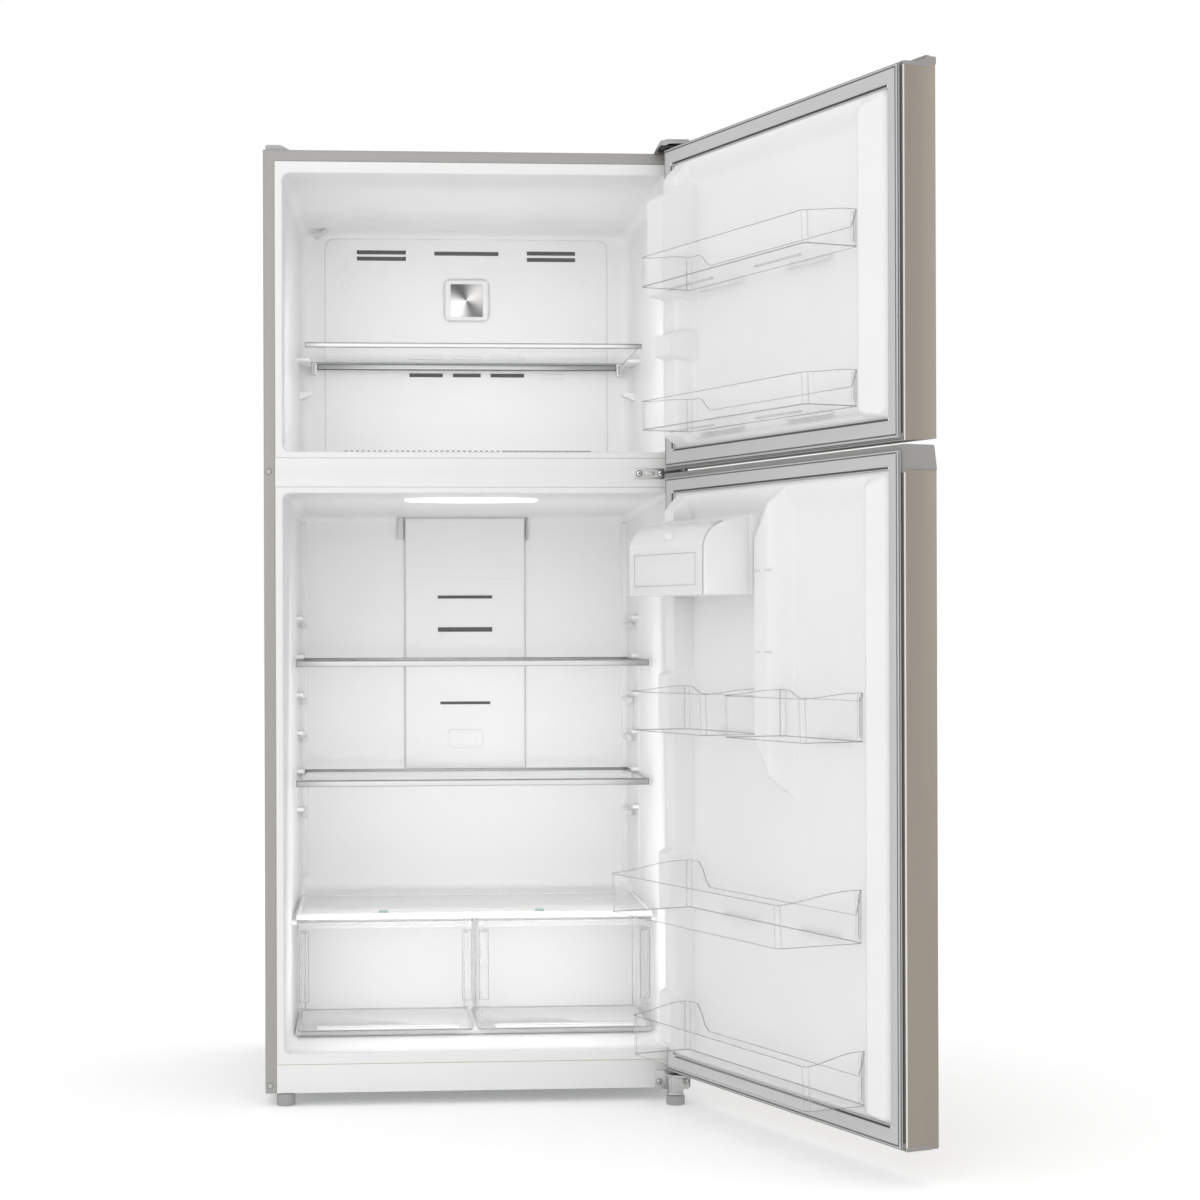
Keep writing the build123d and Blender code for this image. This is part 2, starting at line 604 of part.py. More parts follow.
def freezer_door():
    z0, z1 = FREEZER_DOOR_Z
    ledges = [(x, x + 120, z) for x in (-190, 60) for z in (1428.5, 1183.0)]
    low = box(-HALF, HALF, DOOR_OUT, DOOR_IN, z0, z0 + CAP)
    low -= prism_x([(DOOR_OUT - 1, z0 - 1), (DOOR_OUT + 9, z0 - 1), (DOOR_OUT - 1, z0 + 9)],
                   -HALF - 1, HALF + 1)
    low -= pin_hole(z0 - 1, z0 + CAP)
    high = box(-HALF, HALF, DOOR_OUT, DOOR_IN, z1 - CAP, z1)
    high += box(-HALF, 345, DOOR_OUT, DOOR_OUT + 14, z1, z1 + 11)
    high -= pin_hole(z1 - CAP, z1 + 1)
    return {"freezer_door_panel": door_skin(z0 + CAP, z1 - CAP),
            "freezer_door_foam": door_foam(z0, z1, z1 - CAP, FREEZER_SHAPE),
            "freezer_door_liner": door_liner(z0, z1, FREEZER_SHAPE, ledges),
            "freezer_door_gasket": door_gasket(z0, z1),
            "freezer_door_caps": Compound([low, high])}


def fridge_door():
    z0, z1 = FRIDGE_DOOR_Z
    ledges = [(90, 190, 667.5), (-220, -120, 667.5), (-190, -70, 358.0), (60, 180, 358.0)]
    top = z1 - GRIP_CAP
    cut = box(NICHE_X[0] - 2, NICHE_X[1] + 2, DOOR_OUT - 1, NICHE_Y + 2,
              NICHE_Z[0] - 2, NICHE_Z[1] + 2)
    liner = door_liner(z0, z1, FRIDGE_SHAPE, ledges)
    low = box(-HALF, HALF, DOOR_OUT, DOOR_IN, z0, z0 + CAP) - pin_hole(z0 - 1, z0 + CAP)
    high = prism_x([(DOOR_OUT, top), (DOOR_OUT + 5, z1), (DOOR_IN, z1), (DOOR_IN, top)],
                   -HALF, HALF)
    high -= box(-HALF + 40, 280, DOOR_OUT + 11, DOOR_OUT + 33, z1 - 20, z1 + 1)
    high -= pin_hole(z1 - 14, z1 + 1)
    return {"fridge_door_panel": door_skin(z0 + CAP, top) - cut,
            "fridge_door_foam": door_foam(z0, z1, top, FRIDGE_SHAPE) - cut,
            "fridge_door_liner": liner, "fridge_door_gasket": door_gasket(z0, z1),
            "fridge_door_caps": Compound([low, high - liner]),
            "dispenser_housing": niche_housing(), "dispenser_lever": dispenser_lever(),
            "drip_tray": drip_tray(), "water_tank": water_tank(), "tank_lid": tank_lid()}


# ---------------------------------------------------------------- assembly
def build_cabinet():
    freezer, freezer_block = freezer_liner()
    fridge, fridge_block = fridge_liner()
    glass, trims = freezer_shelf()
    nodes = {
        "cabinet_shell": cabinet_shell(), "back_panel": back_panel(), "base_pan": base_pan(),
        "cabinet_foam": cabinet_foam((freezer_block, fridge_block)),
        "freezer_liner": freezer, "fridge_liner": fridge,
        "mullion_cover": mullion_cover(), "kick_panel": kick_panel(),
        "freezer_duct_panel": freezer_duct_panel(), "emblem_badge": emblem_badge(),
        "fan_motor": fan_motor(), "evaporator_fan": evaporator_fan(),
        "evaporator_coil": evaporator_coil(), "fridge_duct_panel": fridge_duct_panel(),
        "fridge_light_lens": fridge_light_lens(), "crisper_cover": crisper_cover(),
        "compressor": compressor(), "condenser_coil": condenser_coil(),
        "drain_pan": drain_pan(), "compressor_cover": compressor_cover(),
        "top_hinge_bracket": top_hinge_bracket(),
        "middle_hinge_bracket": middle_hinge_bracket(),
        "bottom_hinge_bracket": bottom_hinge_bracket(),
        "hinge_covers": hinge_covers(), "hinge_screws": hinge_screws(),
        "foot_left": foot(*FOOT_LEFT, CAB_Z0 - 0.5, CAB_Z0 + 14),
        "foot_right": foot(*FOOT_RIGHT, 16.5, 40.0),
        "roller_left": roller(-1), "roller_right": roller(1),
        "freezer_shelf_glass": glass, "freezer_shelf_trims": trims,
        "crisper_left": crisper(-1), "crisper_right": crisper(1),
        "humidity_slider_left": humidity_slider(SLIDERS[0]),
        "humidity_slider_right": humidity_slider(SLIDERS[1]),
    }
    for name, top in SHELF_TOPS.items():
        nodes[name + "_glass"] = shelf_glass(top)
        nodes[name + "_trims"] = shelf_trims(top)
    return nodes


def build_doors():
    nodes = {**freezer_door(), **fridge_door()}
    for name, sizes in BINS.items():
        nodes[name] = bin_shape(*sizes)
    hinge = Pos(HINGE_X, HINGE_Y, 0)
    swing = hinge * Rot(0, 0, OPEN_ANGLE) * hinge.inverse()
    return {name: swing * shape for name, shape in nodes.items()}


parts = {**build_cabinet(), **build_doors()}
boxes = [shape.bounding_box() for shape in parts.values()]
mid_x = (min(b.min.X for b in boxes) + max(b.max.X for b in boxes)) / 2
mid_y = (min(b.min.Y for b in boxes) + max(b.max.Y for b in boxes)) / 2

os.makedirs("parts", exist_ok=True)
for name, shape in parts.items():
    export_step(Pos(-mid_x, -mid_y, 0) * shape, f"parts/{name}.step")
print("origin of the cabinet's own frame:", round(-mid_x, 4), round(-mid_y, 4))
print("hinge line:", round(HINGE_X - mid_x, 4), round(HINGE_Y - mid_y, 4))
print("nodes:", len(parts))
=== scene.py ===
import json
from math import cos, pi, radians, sin

import bmesh
import bpy
from mathutils import Matrix, Vector

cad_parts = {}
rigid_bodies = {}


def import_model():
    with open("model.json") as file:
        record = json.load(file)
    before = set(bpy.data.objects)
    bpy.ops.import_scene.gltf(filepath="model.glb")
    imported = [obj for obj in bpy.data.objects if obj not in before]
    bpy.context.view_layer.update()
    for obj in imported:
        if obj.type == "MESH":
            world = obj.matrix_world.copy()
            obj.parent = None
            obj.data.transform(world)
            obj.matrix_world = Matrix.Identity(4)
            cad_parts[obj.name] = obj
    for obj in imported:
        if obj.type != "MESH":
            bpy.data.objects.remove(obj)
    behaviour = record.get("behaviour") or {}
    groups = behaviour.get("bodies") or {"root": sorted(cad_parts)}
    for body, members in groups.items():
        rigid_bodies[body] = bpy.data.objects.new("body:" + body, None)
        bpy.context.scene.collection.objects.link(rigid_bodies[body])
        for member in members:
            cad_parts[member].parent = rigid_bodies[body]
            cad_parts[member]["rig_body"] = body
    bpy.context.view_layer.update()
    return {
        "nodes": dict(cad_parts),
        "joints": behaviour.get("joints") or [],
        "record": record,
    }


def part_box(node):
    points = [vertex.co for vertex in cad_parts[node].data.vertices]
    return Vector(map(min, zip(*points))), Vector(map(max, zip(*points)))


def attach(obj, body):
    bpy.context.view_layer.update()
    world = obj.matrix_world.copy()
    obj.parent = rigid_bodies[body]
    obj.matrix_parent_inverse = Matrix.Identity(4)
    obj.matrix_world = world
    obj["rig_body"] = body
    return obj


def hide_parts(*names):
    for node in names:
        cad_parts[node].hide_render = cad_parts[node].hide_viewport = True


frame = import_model()

# ---- frames of reference
# Pieces are drawn in millimetres in the cabinet's own frame: X to the right from the middle of
# the cabinet, Y to the back from its front flange, Z up, and the doors shut. CAB puts such a
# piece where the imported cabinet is, and DOOR also turns it open about the hinge line.
MM = 0.001
NODES = frame["nodes"]
JOINTS = {j["name"]: j for j in frame["joints"]}
PARENT = {j["child"]: j["parent"] for j in frame["joints"]}
HINGE = JOINTS["fridge_door_hinge"]
OPEN = -radians(HINGE["range_deg"][0])
SHELL_LO, SHELL_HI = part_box("cabinet_shell")
CAB = (Matrix.Translation(((SHELL_LO.x + SHELL_HI.x) / 2, SHELL_LO.y, 0))
       @ Matrix.Diagonal((MM, MM, MM, 1)))
PIN = Vector((HINGE["pos_m"][0], HINGE["pos_m"][1], 0))
DOOR = Matrix.Translation(PIN) @ Matrix.Rotation(OPEN, 4, "Z") @ Matrix.Translation(-PIN) @ CAB


def body_of(node):
    return NODES[node]["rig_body"]


def on_door(body):
    while body in PARENT and not body.endswith("_door"):
        body = PARENT[body]
    return body.endswith("_door")


def place_of(body):
    return DOOR if on_door(body) else CAB


def span(node):
    """Lowest and highest corner of a CAD node in millimetres, with the doors shut."""
    inverse = place_of(body_of(node)).inverted()
    points = [inverse @ v.co for v in NODES[node].data.vertices]
    return (Vector(min(p[i] for p in points) for i in range(3)),
            Vector(max(p[i] for p in points) for i in range(3)))


# ---- sizes
HALF = span("cabinet_shell")[1].x
CAB_TOP = span("cabinet_shell")[1].z
CAB_BOTTOM = span("cabinet_shell")[0].z
CAB_BACK = span("cabinet_shell")[1].y
FLANGE = 20

DOOR_OUT = span("freezer_door_panel")[0].y
DOOR_IN = span("freezer_door_panel")[1].y
PANEL_Y = -17         # flat of a door liner
SLIDERS = [(span(f"humidity_slider_{s}")[0].x + span(f"humidity_slider_{s}")[1].x) / 2
           for s in ("left", "right")]
BIN_SEATS = ((107, 255), (-173, -34))   # where the freezer bins rest on the door, along X


# ---- materials
def new_material(name, color, rough, metallic=0, **values):
    mat = bpy.data.materials.new(name)
    mat.use_nodes = True
    values |= {"Base Color": (*color, 1), "Roughness": rough, "Metallic": metallic}
    for socket, value in values.items():
        mat.node_tree.nodes["Principled BSDF"].inputs[socket].default_value = value
    return mat


def add(mat, kind, sockets, **settings):
    """Adds a shader node; a socket gets a value, or the output that feeds it."""
    node = mat.node_tree.nodes.new("ShaderNode" + kind)
    for key, value in settings.items():
        setattr(node, key, value)
    for socket, value in sockets.items():
        if isinstance(value, bpy.types.NodeSocket):
            mat.node_tree.links.new(value, node.inputs[socket])
        else:
            node.inputs[socket].default_value = value
    return node.outputs


def feed(mat, output, socket):
    """Links an output to the material's own shader."""
    tree = mat.node_tree
    tree.links.new(output, tree.nodes["Principled BSDF"].inputs[socket])


def noise_of(mat, scale, detail=3, stretch=(1, 1, 1)):
    """Noise in metres of object space, stretched along an axis for a brushed grain."""
    place = add(mat, "TexCoord", {})["Object"]
    place = add(mat, "Mapping", {"Vector": place, "Scale": stretch})["Vector"]
    return add(mat, "TexNoise", {"Vector": place, "Scale": scale, "Detail": detail})["Fac"]


def vary_color(mat, fac, low, high):
    mix = add(mat, "Mix", {"Factor": fac, "A": (*low, 1), "B": (*high, 1)}, data_type="RGBA")
    feed(mat, mix["Result"], "Base Color")


def vary_rough(mat, fac, low, high):
    level = add(mat, "MapRange", {"Value": fac, "To Min": low, "To Max": high})
    feed(mat, level["Result"], "Roughness")


def bump(mat, fac, distance, strength=0.5):
    relief = add(mat, "Bump", {"Height": fac, "Strength": strength, "Distance": distance})
    feed(mat, relief["Normal"], "Normal")


def shade(color, factor):
    return tuple(c * factor for c in color)


def conic_reflection_badge(name, light, dark, lo, hi):
    """Metal brushed in arcs about its middle: bright and dark fans of painted reflection, like
    spun steel, over a stretched bump for its grain.
    """
    mat = new_material(name, light, 0.34, 0.6)
    place = add(mat, "TexCoord", {})["Object"]
    middle = tuple((a + b) / 2 for a, b in zip(lo, hi))
    place = add(mat, "VectorMath", {0: place, 1: middle}, operation="SUBTRACT")[0]
    axes = add(mat, "SeparateXYZ", {0: place})
    turn = add(mat, "Math", {0: axes["Z"], 1: axes["X"]}, operation="ARCTAN2")[0]
    fans = add(mat, "Math", {0: turn, 1: 2, 2: 0.5}, operation="MULTIPLY_ADD")[0]
    wave = add(mat, "Math", {0: fans}, operation="SINE")[0]
    level = add(mat, "MapRange", {"Value": wave, "From Min": -1})["Result"]
    vary_color(mat, level, dark, light)
    bump(mat, noise_of(mat, 1, 3, (60, 60, 1500)), 0.00003)
    return mat


def plastic(name, color, rough=0.4, grain=900, depth=0.00005, glow=0):
    """Moulded plastic: fine grain, slightly cloudy colour and uneven gloss."""
    values = {"Emission Color": (1, 1, 1, 1), "Emission Strength": glow} if glow else {}
    mat = new_material(name, color, rough, **values)
    vary_color(mat, noise_of(mat, 9), shade(color, 0.98), shade(color, 1.02))
    vary_rough(mat, noise_of(mat, 25), rough * 0.85, rough * 1.15)
    bump(mat, noise_of(mat, grain), depth, 0.3)
    return mat


def brushed(name, color, rough=0.32, stretch=(900, 900, 5), spread=0.08):
    """Brushed metal: streaks along the axis that is stretched least."""
    mat = new_material(name, color, rough, 1)
    streaks = noise_of(mat, 1, 4, stretch)
    vary_color(mat, streaks, shade(color, 1 - spread), shade(color, 1 + spread))
    vary_rough(mat, streaks, rough * 0.8, rough * 1.25)
    bump(mat, streaks, 0.00003, 0.35)
    return mat


def hammered(name, color):
    """Silver-grey hammered paint of the cabinet."""
    mat = new_material(name, color, 0.42, 0.25)
    cells = noise_of(mat, 380, 2)
    vary_color(mat, cells, shade(color, 0.93), shade(color, 1.07))
    vary_rough(mat, noise_of(mat, 90), 0.34, 0.5)
    bump(mat, cells, 0.0006, 0.35)
    return mat


def clear(name, color, alpha, rough=0.08, ior=1.45):
    mat = new_material(name, color, rough, Alpha=alpha, IOR=ior)
    vary_color(mat, noise_of(mat, 6), shade(color, 0.97), shade(color, 1.03))
    bump(mat, noise_of(mat, 14), 0.0004, 0.1)
    return mat


WHITE = plastic("liner_white", (0.80, 0.80, 0.80), 0.36)
WHITE_SATIN = plastic("panel_white", (0.80, 0.80, 0.80), 0.45)
TANK_WHITE = plastic("tank_white", (0.82, 0.82, 0.82), 0.3)
GASKET = plastic("gasket_grey", (0.50, 0.50, 0.505), 0.55, 1400)
# Dark grey for the gasket's folds and the rings round the hole covers: painted shade.
GROOVE_SHADE = plastic("groove_shade_grey", (0.16, 0.16, 0.16), 0.6)
LIP_DARK = plastic("lip_shadow_grey", (0.10, 0.10, 0.10), 0.5)
CAP_GREY = plastic("cap_grey", (0.265, 0.26, 0.252), 0.42)
CAP_DARK = plastic("cap_dark", (0.09, 0.085, 0.08), 0.5)
PLUG_GREY = plastic("plug_grey", (0.45, 0.45, 0.45), 0.42)
FOOT_GREY = plastic("foot_grey", (0.34, 0.34, 0.34), 0.5)
# Black for gaps, seams and faces in shade: painted shade.
SHADE_BLACK = plastic("shade_black", (0.03, 0.03, 0.03), 0.7)
# Near-black strip behind the duct slots: painted shade.
DARK = plastic("slot_shade", (0.1, 0.1, 0.1), 0.6)
SHADOW_GREY = plastic("shadow_grey", (0.42, 0.42, 0.42), 0.5)
SHADOW_LIGHT = plastic("shadow_light_grey", (0.62, 0.62, 0.62), 0.5)
FLANGE_PAINT = hammered("flange_paint", (0.36, 0.35, 0.34))
DOOR_STEEL = brushed("door_steel", (0.31, 0.275, 0.235), 0.36)
# Light copy of the door steel for the sheet's rounded side edges: painted highlight.
EDGE_HIGHLIGHT_STEEL = brushed("edge_highlight_steel", (0.78, 0.74, 0.69), 0.25)
ZINC = brushed("zinc", (0.52, 0.52, 0.515), 0.3, (260, 260, 260), 0.08)
SCREW_STEEL = brushed("screw_steel", (0.75, 0.75, 0.74), 0.22, (400, 400, 400), 0.05)
TRIM = brushed("trim_silver", (0.36, 0.36, 0.36), 0.34, (4, 700, 700), 0.06)
TRIM_DARK = brushed("trim_dark", (0.13, 0.13, 0.13), 0.4, (4, 700, 700), 0.08)
GALVANISED = brushed("galvanised", (0.5, 0.51, 0.52), 0.45, (60, 60, 60), 0.12)
ALUMINIUM = brushed("coil_aluminium", (0.7, 0.7, 0.7), 0.4, (300, 300, 20))
BLACK_METAL = plastic("black_metal", (0.02, 0.02, 0.02), 0.35)
CLEAR = clear("clear_plastic", (0.86, 0.87, 0.87), 0.1)
# Greys for the edges, rims, corners and moulded lines of clear parts: painted shade where a clear
# edge looks dark.
CLEAR_EDGE_SHADE = clear("clear_edge_shade", (0.22, 0.22, 0.22), 0.68)
CLEAR_CORNER_SHADE = clear("clear_corner_shade", (0.46, 0.46, 0.46), 0.45)
CRISPER = clear("crisper_clear", (0.92, 0.92, 0.92), 0.1)
CRISPER_FLOOR = clear("crisper_floor", (0.94, 0.94, 0.94), 0.8)
# Whiter, less clear plastic for the drawers' front lip: painted highlight.
CLEAR_LIP_HIGHLIGHT = clear("clear_lip_highlight", (0.90, 0.90, 0.90), 0.4)
GLASS = clear("shelf_glass", (0.92, 0.94, 0.93), 0.12, 0.03, 1.5)
GLASS_EDGE = clear("glass_edge", (0.30, 0.36, 0.34), 0.7)
FROSTED = clear("frosted_cover", (0.98, 0.98, 0.98), 0.45, 0.2)
COVER = clear("cover_white", (0.97, 0.97, 0.97), 0.5, 0.25)
SLIDER_GREEN = plastic("slider_green", (0.22, 0.32, 0.30), 0.5)
FOAM = plastic("foam", (0.8, 0.74, 0.5), 0.8, 300, 0.0006)
LENS = new_material("lamp_lens", (1, 1, 1), 0.4,
                    **{"Emission Color": (1, 1, 1, 1), "Emission Strength": 1.3})
bump(LENS, noise_of(LENS, 600), 0.0003)


# ---- mesh tools
def link(ob):
    bpy.context.scene.collection.objects.link(ob)
    return ob


def meshed(name, bm, place=None):
    """Turns a drawn mesh into an object of the scene."""
    mesh = bpy.data.meshes.new(name)
    bm.to_mesh(mesh)
    bm.free()
    if place:
        mesh.transform(place)
    return link(bpy.data.objects.new(name, mesh))


def smoothed(mesh, crease=32):
    for polygon in mesh.polygons:
        polygon.use_smooth = True
    mesh.set_sharp_from_angle(angle=radians(crease))


def join(ob, bm):
    """Adds shells drawn in millimetres to a finished piece of the cabinet."""
    bmesh.ops.recalc_face_normals(bm, faces=bm.faces)
    bm.transform(CAB)
    bm.from_mesh(ob.data)
    bm.to_mesh(ob.data)
    bm.free()
    smoothed(ob.data)


def piece(name, bm, mats, node=None, body="cabinet", slot=None, crease=32):
    """Finishes a mesh drawn in millimetres: it stands in for a CAD node or rides a body."""
    if node:
        body, slot = body_of(node), slot_of(node)
    bmesh.ops.recalc_face_normals(bm, faces=bm.faces)
    ob = meshed(name, bm, place_of(body))
    for mat in mats:
        ob.data.materials.append(mat)
    smoothed(ob.data, crease)
    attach(ob, body)
    if node:
        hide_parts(node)
    return ob



def skin(bm, rings, loop=False, index=0):
    """Quads between rings of equal length; index is a material or a function of i."""
    count = len(rings[0])
    for a, b in zip(rings, rings[1:] + (rings[:1] if loop else [])):
        for i in range(count):
            j = (i + 1) % count
            face = bm.faces.new((a[i], a[j], b[j], b[i]))
            face.material_index = index(i) if callable(index) else index


def loft(bm, outlines, first=True, last=True, index=0):
    """Skin over outlines of equal length, closed at its ends."""
    rings = [ring(bm, points) for points in outlines]
    skin(bm, rings, index=index)
    for end, closed in ((rings[0], first), (rings[-1], last)):
        if closed:
            bm.faces.new(end).material_index = index
    return rings


def ring(bm, points):
    return [bm.verts.new(p) for p in points]


def finish(bm, faces, bevel, segments, index):
    """Rounds the edges of a solid's faces and gives them one material."""
    if bevel:
        edges = list(dict.fromkeys(e for f in faces for e in f.edges))
        result = bmesh.ops.bevel(bm, geom=edges, offset=bevel, segments=segments,
                                 profile=0.5, affect="EDGES")
        faces = [f for f in faces if f.is_valid] + result["faces"]
    for face in faces:
        face.material_index = index


def block(bm, x0, x1, y0, y1, z0, z1, bevel=0, segments=2, index=0):
    """Box with rounded edges."""
    size = Matrix.Diagonal((abs(x1 - x0), abs(y1 - y0), abs(z1 - z0), 1))
    centre = Matrix.Translation(((x0 + x1) / 2, (y0 + y1) / 2, (z0 + z1) / 2))
    made = bmesh.ops.create_cube(bm, size=1, matrix=centre @ size)["verts"]
    finish(bm, [f for v in made for f in v.link_faces], bevel, segments, index)


def pair(bm, x0, x1, *rest, **more):
    """A block and its mirror image."""
    for side in (-1, 1):
        block(bm, side * x0, side * x1, *rest, **more)


def prism(bm, points, axis, a, b, bevel=0, segments=2, index=0):
    """Outline in the two other axes pulled along X, Y or Z, with rounded edges."""
    def at(p, w):
        return {"X": (w, p[0], p[1]), "Y": (p[0], w, p[1]), "Z": (p[0], p[1], w)}[axis]
    rings = loft(bm, [[at(p, w) for p in points] for w in (a, b)])
    finish(bm, [f for r in rings for v in r for f in v.link_faces], bevel, segments, index)


def lathe(bm, profile, x, y, z, axis="Z", segments=32, index=0):
    """Profile of (radius, distance along the axis) turned about an axis."""
    def at(r, h, t):
        u, v = r * cos(t), r * sin(t)
        return {"Z": (x + u, y + v, z + h), "Y": (x + u, y + h, z + v)}[axis]
    loft(bm, [[at(r, h, 2 * pi * k / segments) for k in range(segments)] for r, h in profile],
         index=index)


def turned(r, steps, level):
    """Circle of points; level(c, s) places one from its cosine and sine times the radius."""
    return [level(r * cos(2 * pi * k / steps), r * sin(2 * pi * k / steps))
            for k in range(steps)]


def arc(cx, cy, r, a0, a1, steps):
    return [(cx + r * cos(radians(a0 + (a1 - a0) * k / steps)),
             cy + r * sin(radians(a0 + (a1 - a0) * k / steps))) for k in range(steps + 1)]


def rounded(x0, x1, y0, y1, r, steps=6, nx=0, ny=0):
    """Rounded rectangle from the lower left corner's end, with nx and ny points per side."""
    def line(p, q, n):
        return [(p[0] + (q[0] - p[0]) * k / (n + 1), p[1] + (q[1] - p[1]) * k / (n + 1))
                for k in range(1, n + 1)]
    corners = [arc(x0 + r, y0 + r, r, 180, 270, steps), arc(x1 - r, y0 + r, r, 270, 360, steps),
               arc(x1 - r, y1 - r, r, 0, 90, steps), arc(x0 + r, y1 - r, r, 90, 180, steps)]
    points = []
    for k, corner in enumerate(corners):
        after = corners[(k + 1) % 4]
        points += corner + line(corner[-1], after[0], ny if k % 2 else nx)
    return points


def soften(node, mat, width):
    """Copy of a CAD node with its sharp edges rounded, standing in for it."""
    bm = bmesh.new()
    bm.from_mesh(NODES[node].data)
    bmesh.ops.transform(bm, matrix=place_of(body_of(node)).inverted(), verts=bm.verts)
    bmesh.ops.remove_doubles(bm, verts=bm.verts, dist=0.002)
    bmesh.ops.dissolve_limit(bm, angle_limit=radians(1), verts=bm.verts, edges=bm.edges)
    sharp = [e for e in bm.edges
             if len(e.link_faces) == 2 and e.calc_face_angle(0) > radians(30)]
    bmesh.ops.bevel(bm, geom=sharp, offset=width, segments=2, profile=0.5,
                    affect="EDGES", clamp_overlap=True)
    for face in bm.faces:
        face.material_index = 0
    piece(node + "_skin", bm, [mat], node)


def slot_of(node):
    return next(s["material_slot"] for s in frame["record"]["subparts"] if s["node"] == node)


def smooth(t):
    t = min(1, max(0, t))
    return t * t * (3 - 2 * t)


def soft_max(a, b, k=5):
    h = max(k - abs(a - b), 0) / k
    return max(a, b) + h * h * k / 4


def inside(x, z, x0, x1, z0, z1, r):
    """Distance inside a rounded rectangle, negative outside."""
    dx = abs(x - (x0 + x1) / 2) - (x1 - x0) / 2 + r
    dz = abs(z - (z0 + z1) / 2) - (z1 - z0) / 2 + r
    outer = (max(dx, 0) ** 2 + max(dz, 0) ** 2) ** 0.5
    return r - outer - min(max(dx, dz), 0)


# ---- camera, light and floor
def camera():
    """Long lens, a little left of the middle, level with the middle of the cabinet."""
    place = Vector((-188.5, -4334.8, 841.5))
    yaw, pitch, roll = radians(4.005), radians(0.102), radians(-0.179)
    ahead = Vector((sin(yaw) * cos(pitch), cos(yaw) * cos(pitch), sin(pitch)))
    side = Vector((cos(yaw), -sin(yaw), 0))
    up = side.cross(ahead)
    right = cos(roll) * side + sin(roll) * up
    above = cos(roll) * up - sin(roll) * side
    data = bpy.data.cameras.new("camera")
    data.lens = 73.17
    data.sensor_width = 36
    data.shift_x = 0.0481
    data.shift_y = 0.0206
    data.clip_end = 60
    ob = bpy.data.objects.new("camera", data)
    turn = Matrix((right, above, -ahead)).transposed()
    ob.matrix_world = Matrix.Translation(CAB @ place) @ turn.to_4x4()
    bpy.context.scene.camera = link(ob)


def area(name, place, target, size, power):
    data = bpy.data.lights.new(name, "AREA")
    data.shape = "RECTANGLE"
    data.size, data.size_y = size
    data.energy = power
    ob = bpy.data.objects.new(name, data)
    ob.location = place
    ob.rotation_euler = (Vector(target) - Vector(place)).to_track_quat("-Z", "Y").to_euler()
    link(ob)


def studio():
    world = bpy.data.worlds.new("studio")
    bpy.context.scene.world = world
    world.use_nodes = True
    world.node_tree.nodes["Background"].inputs["Color"].default_value = (1, 1, 1, 1)
    world.node_tree.nodes["Background"].inputs["Strength"].default_value = 1
    area("front_softbox", (-1.6, -4.2, 2.4), (0, 0, 0.9), (2.6, 2), 16)
    area("right_softbox", (3.2, -1.6, 1.8), (0.5, -0.3, 0.9), (1.6, 2.4), 6)
    for name, cavity, power, at, tall in (("freezer_glow", "freezer_liner", 0.8, 0.36, 0.5),
                                          ("fridge_glow", "fridge_liner", 1.75, 0.44, 0.76),
                                          ("crisper_glow", "fridge_liner", 0.25, 0.17, 0.18)):
        lo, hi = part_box(cavity)
        x, z = (lo.x + hi.x) / 2, lo.z + at * (hi.z - lo.z)
        area(name, (x, lo.y + 0.03, z), (x, hi.y, z - 0.05), (0.6, tall * (hi.z - lo.z)), power)
    bpy.context.scene.view_settings.view_transform = "Standard"
    bm = bmesh.new()
    block(bm, -30, 30, -12, 60, -0.04, -0.0005, 0.01)
    floor = meshed("floor", bm)
    floor.data.materials.append(plastic("floor_white", (0.88, 0.88, 0.88), 0.9, 40, glow=0.2))


# ---- cabinet
def cabinet_shell():
    """Wrapped sheet: a folded front flange, a rounded nose, and the side and top walls."""
    r = 4
    nose = [(r - r * cos(radians(a)), r - r * sin(radians(a))) for a in (0, 22, 45, 67, 90)]
    profile = [(0, CAB_BACK), *nose, (FLANGE - 1, 0), (FLANGE, 1), (FLANGE, 2.2), (1.2, 2.2),
               (1.2, CAB_BACK)]
    corners = [(-HALF, CAB_BOTTOM, 1, 0), (-HALF, CAB_TOP, 1, -1), (HALF, CAB_TOP, -1, -1),
               (HALF, CAB_BOTTOM, -1, 0)]
    bm = bmesh.new()
    loft(bm, [[(x + sx * o, y, z + sz * o) for o, y in profile] for x, z, sx, sz in corners])
    piece("cabinet_wrap", bm, [FLANGE_PAINT], "cabinet_shell")


def plan(w0, w1, v0, v1, r, y, steps=8):
    """Rounded rectangle that stands upright at depth y."""
    return [(x, y, z) for x, z in rounded(w0, w1, v0, v1, r, steps)]


def thicken(ob, wall):
    """Gives an open shell its wall, away from the room inside it."""
    back = max(ob.data.polygons, key=lambda p: p.center.y)
    thick = ob.modifiers.new("wall", "SOLIDIFY")
    thick.thickness = wall * MM
    thick.offset = 1 if back.normal.y > 0 else -1


def liner(name, node, rings_at):
    """Moulded cavity: front frame, rounded lip, walls and back."""
    z0, z1 = span(node)[0].z, span(node)[1].z
    edge = HALF - FLANGE - 0.3
    rows = [(1.4, edge, z0, z1, 2), (0, edge - 1, z0 + 1, z1 - 1, 2), *rings_at]
    bm = bmesh.new()
    loft(bm, [plan(-half, half, a, b, r, y) for y, half, a, b, r in rows], first=False)
    thicken(piece(name, bm, [WHITE], node, crease=40), 1.6)


def lip(half, z0, z1, r, big=3, steps=5):
    """Quarter-round from the front frame into the cavity."""
    rows = []
    for k in range(steps + 1):
        a = radians(90 * k / steps)
        out = big * (1 - sin(a))
        rows.append((big * (1 - cos(a)), half + out, z0 - out, z1 + out, r + out))
    return rows


def taper(front, rear, y):
    t = y / rear[0]
    return tuple(f + (b - f) * t for f, b in zip(front, rear[1:]))


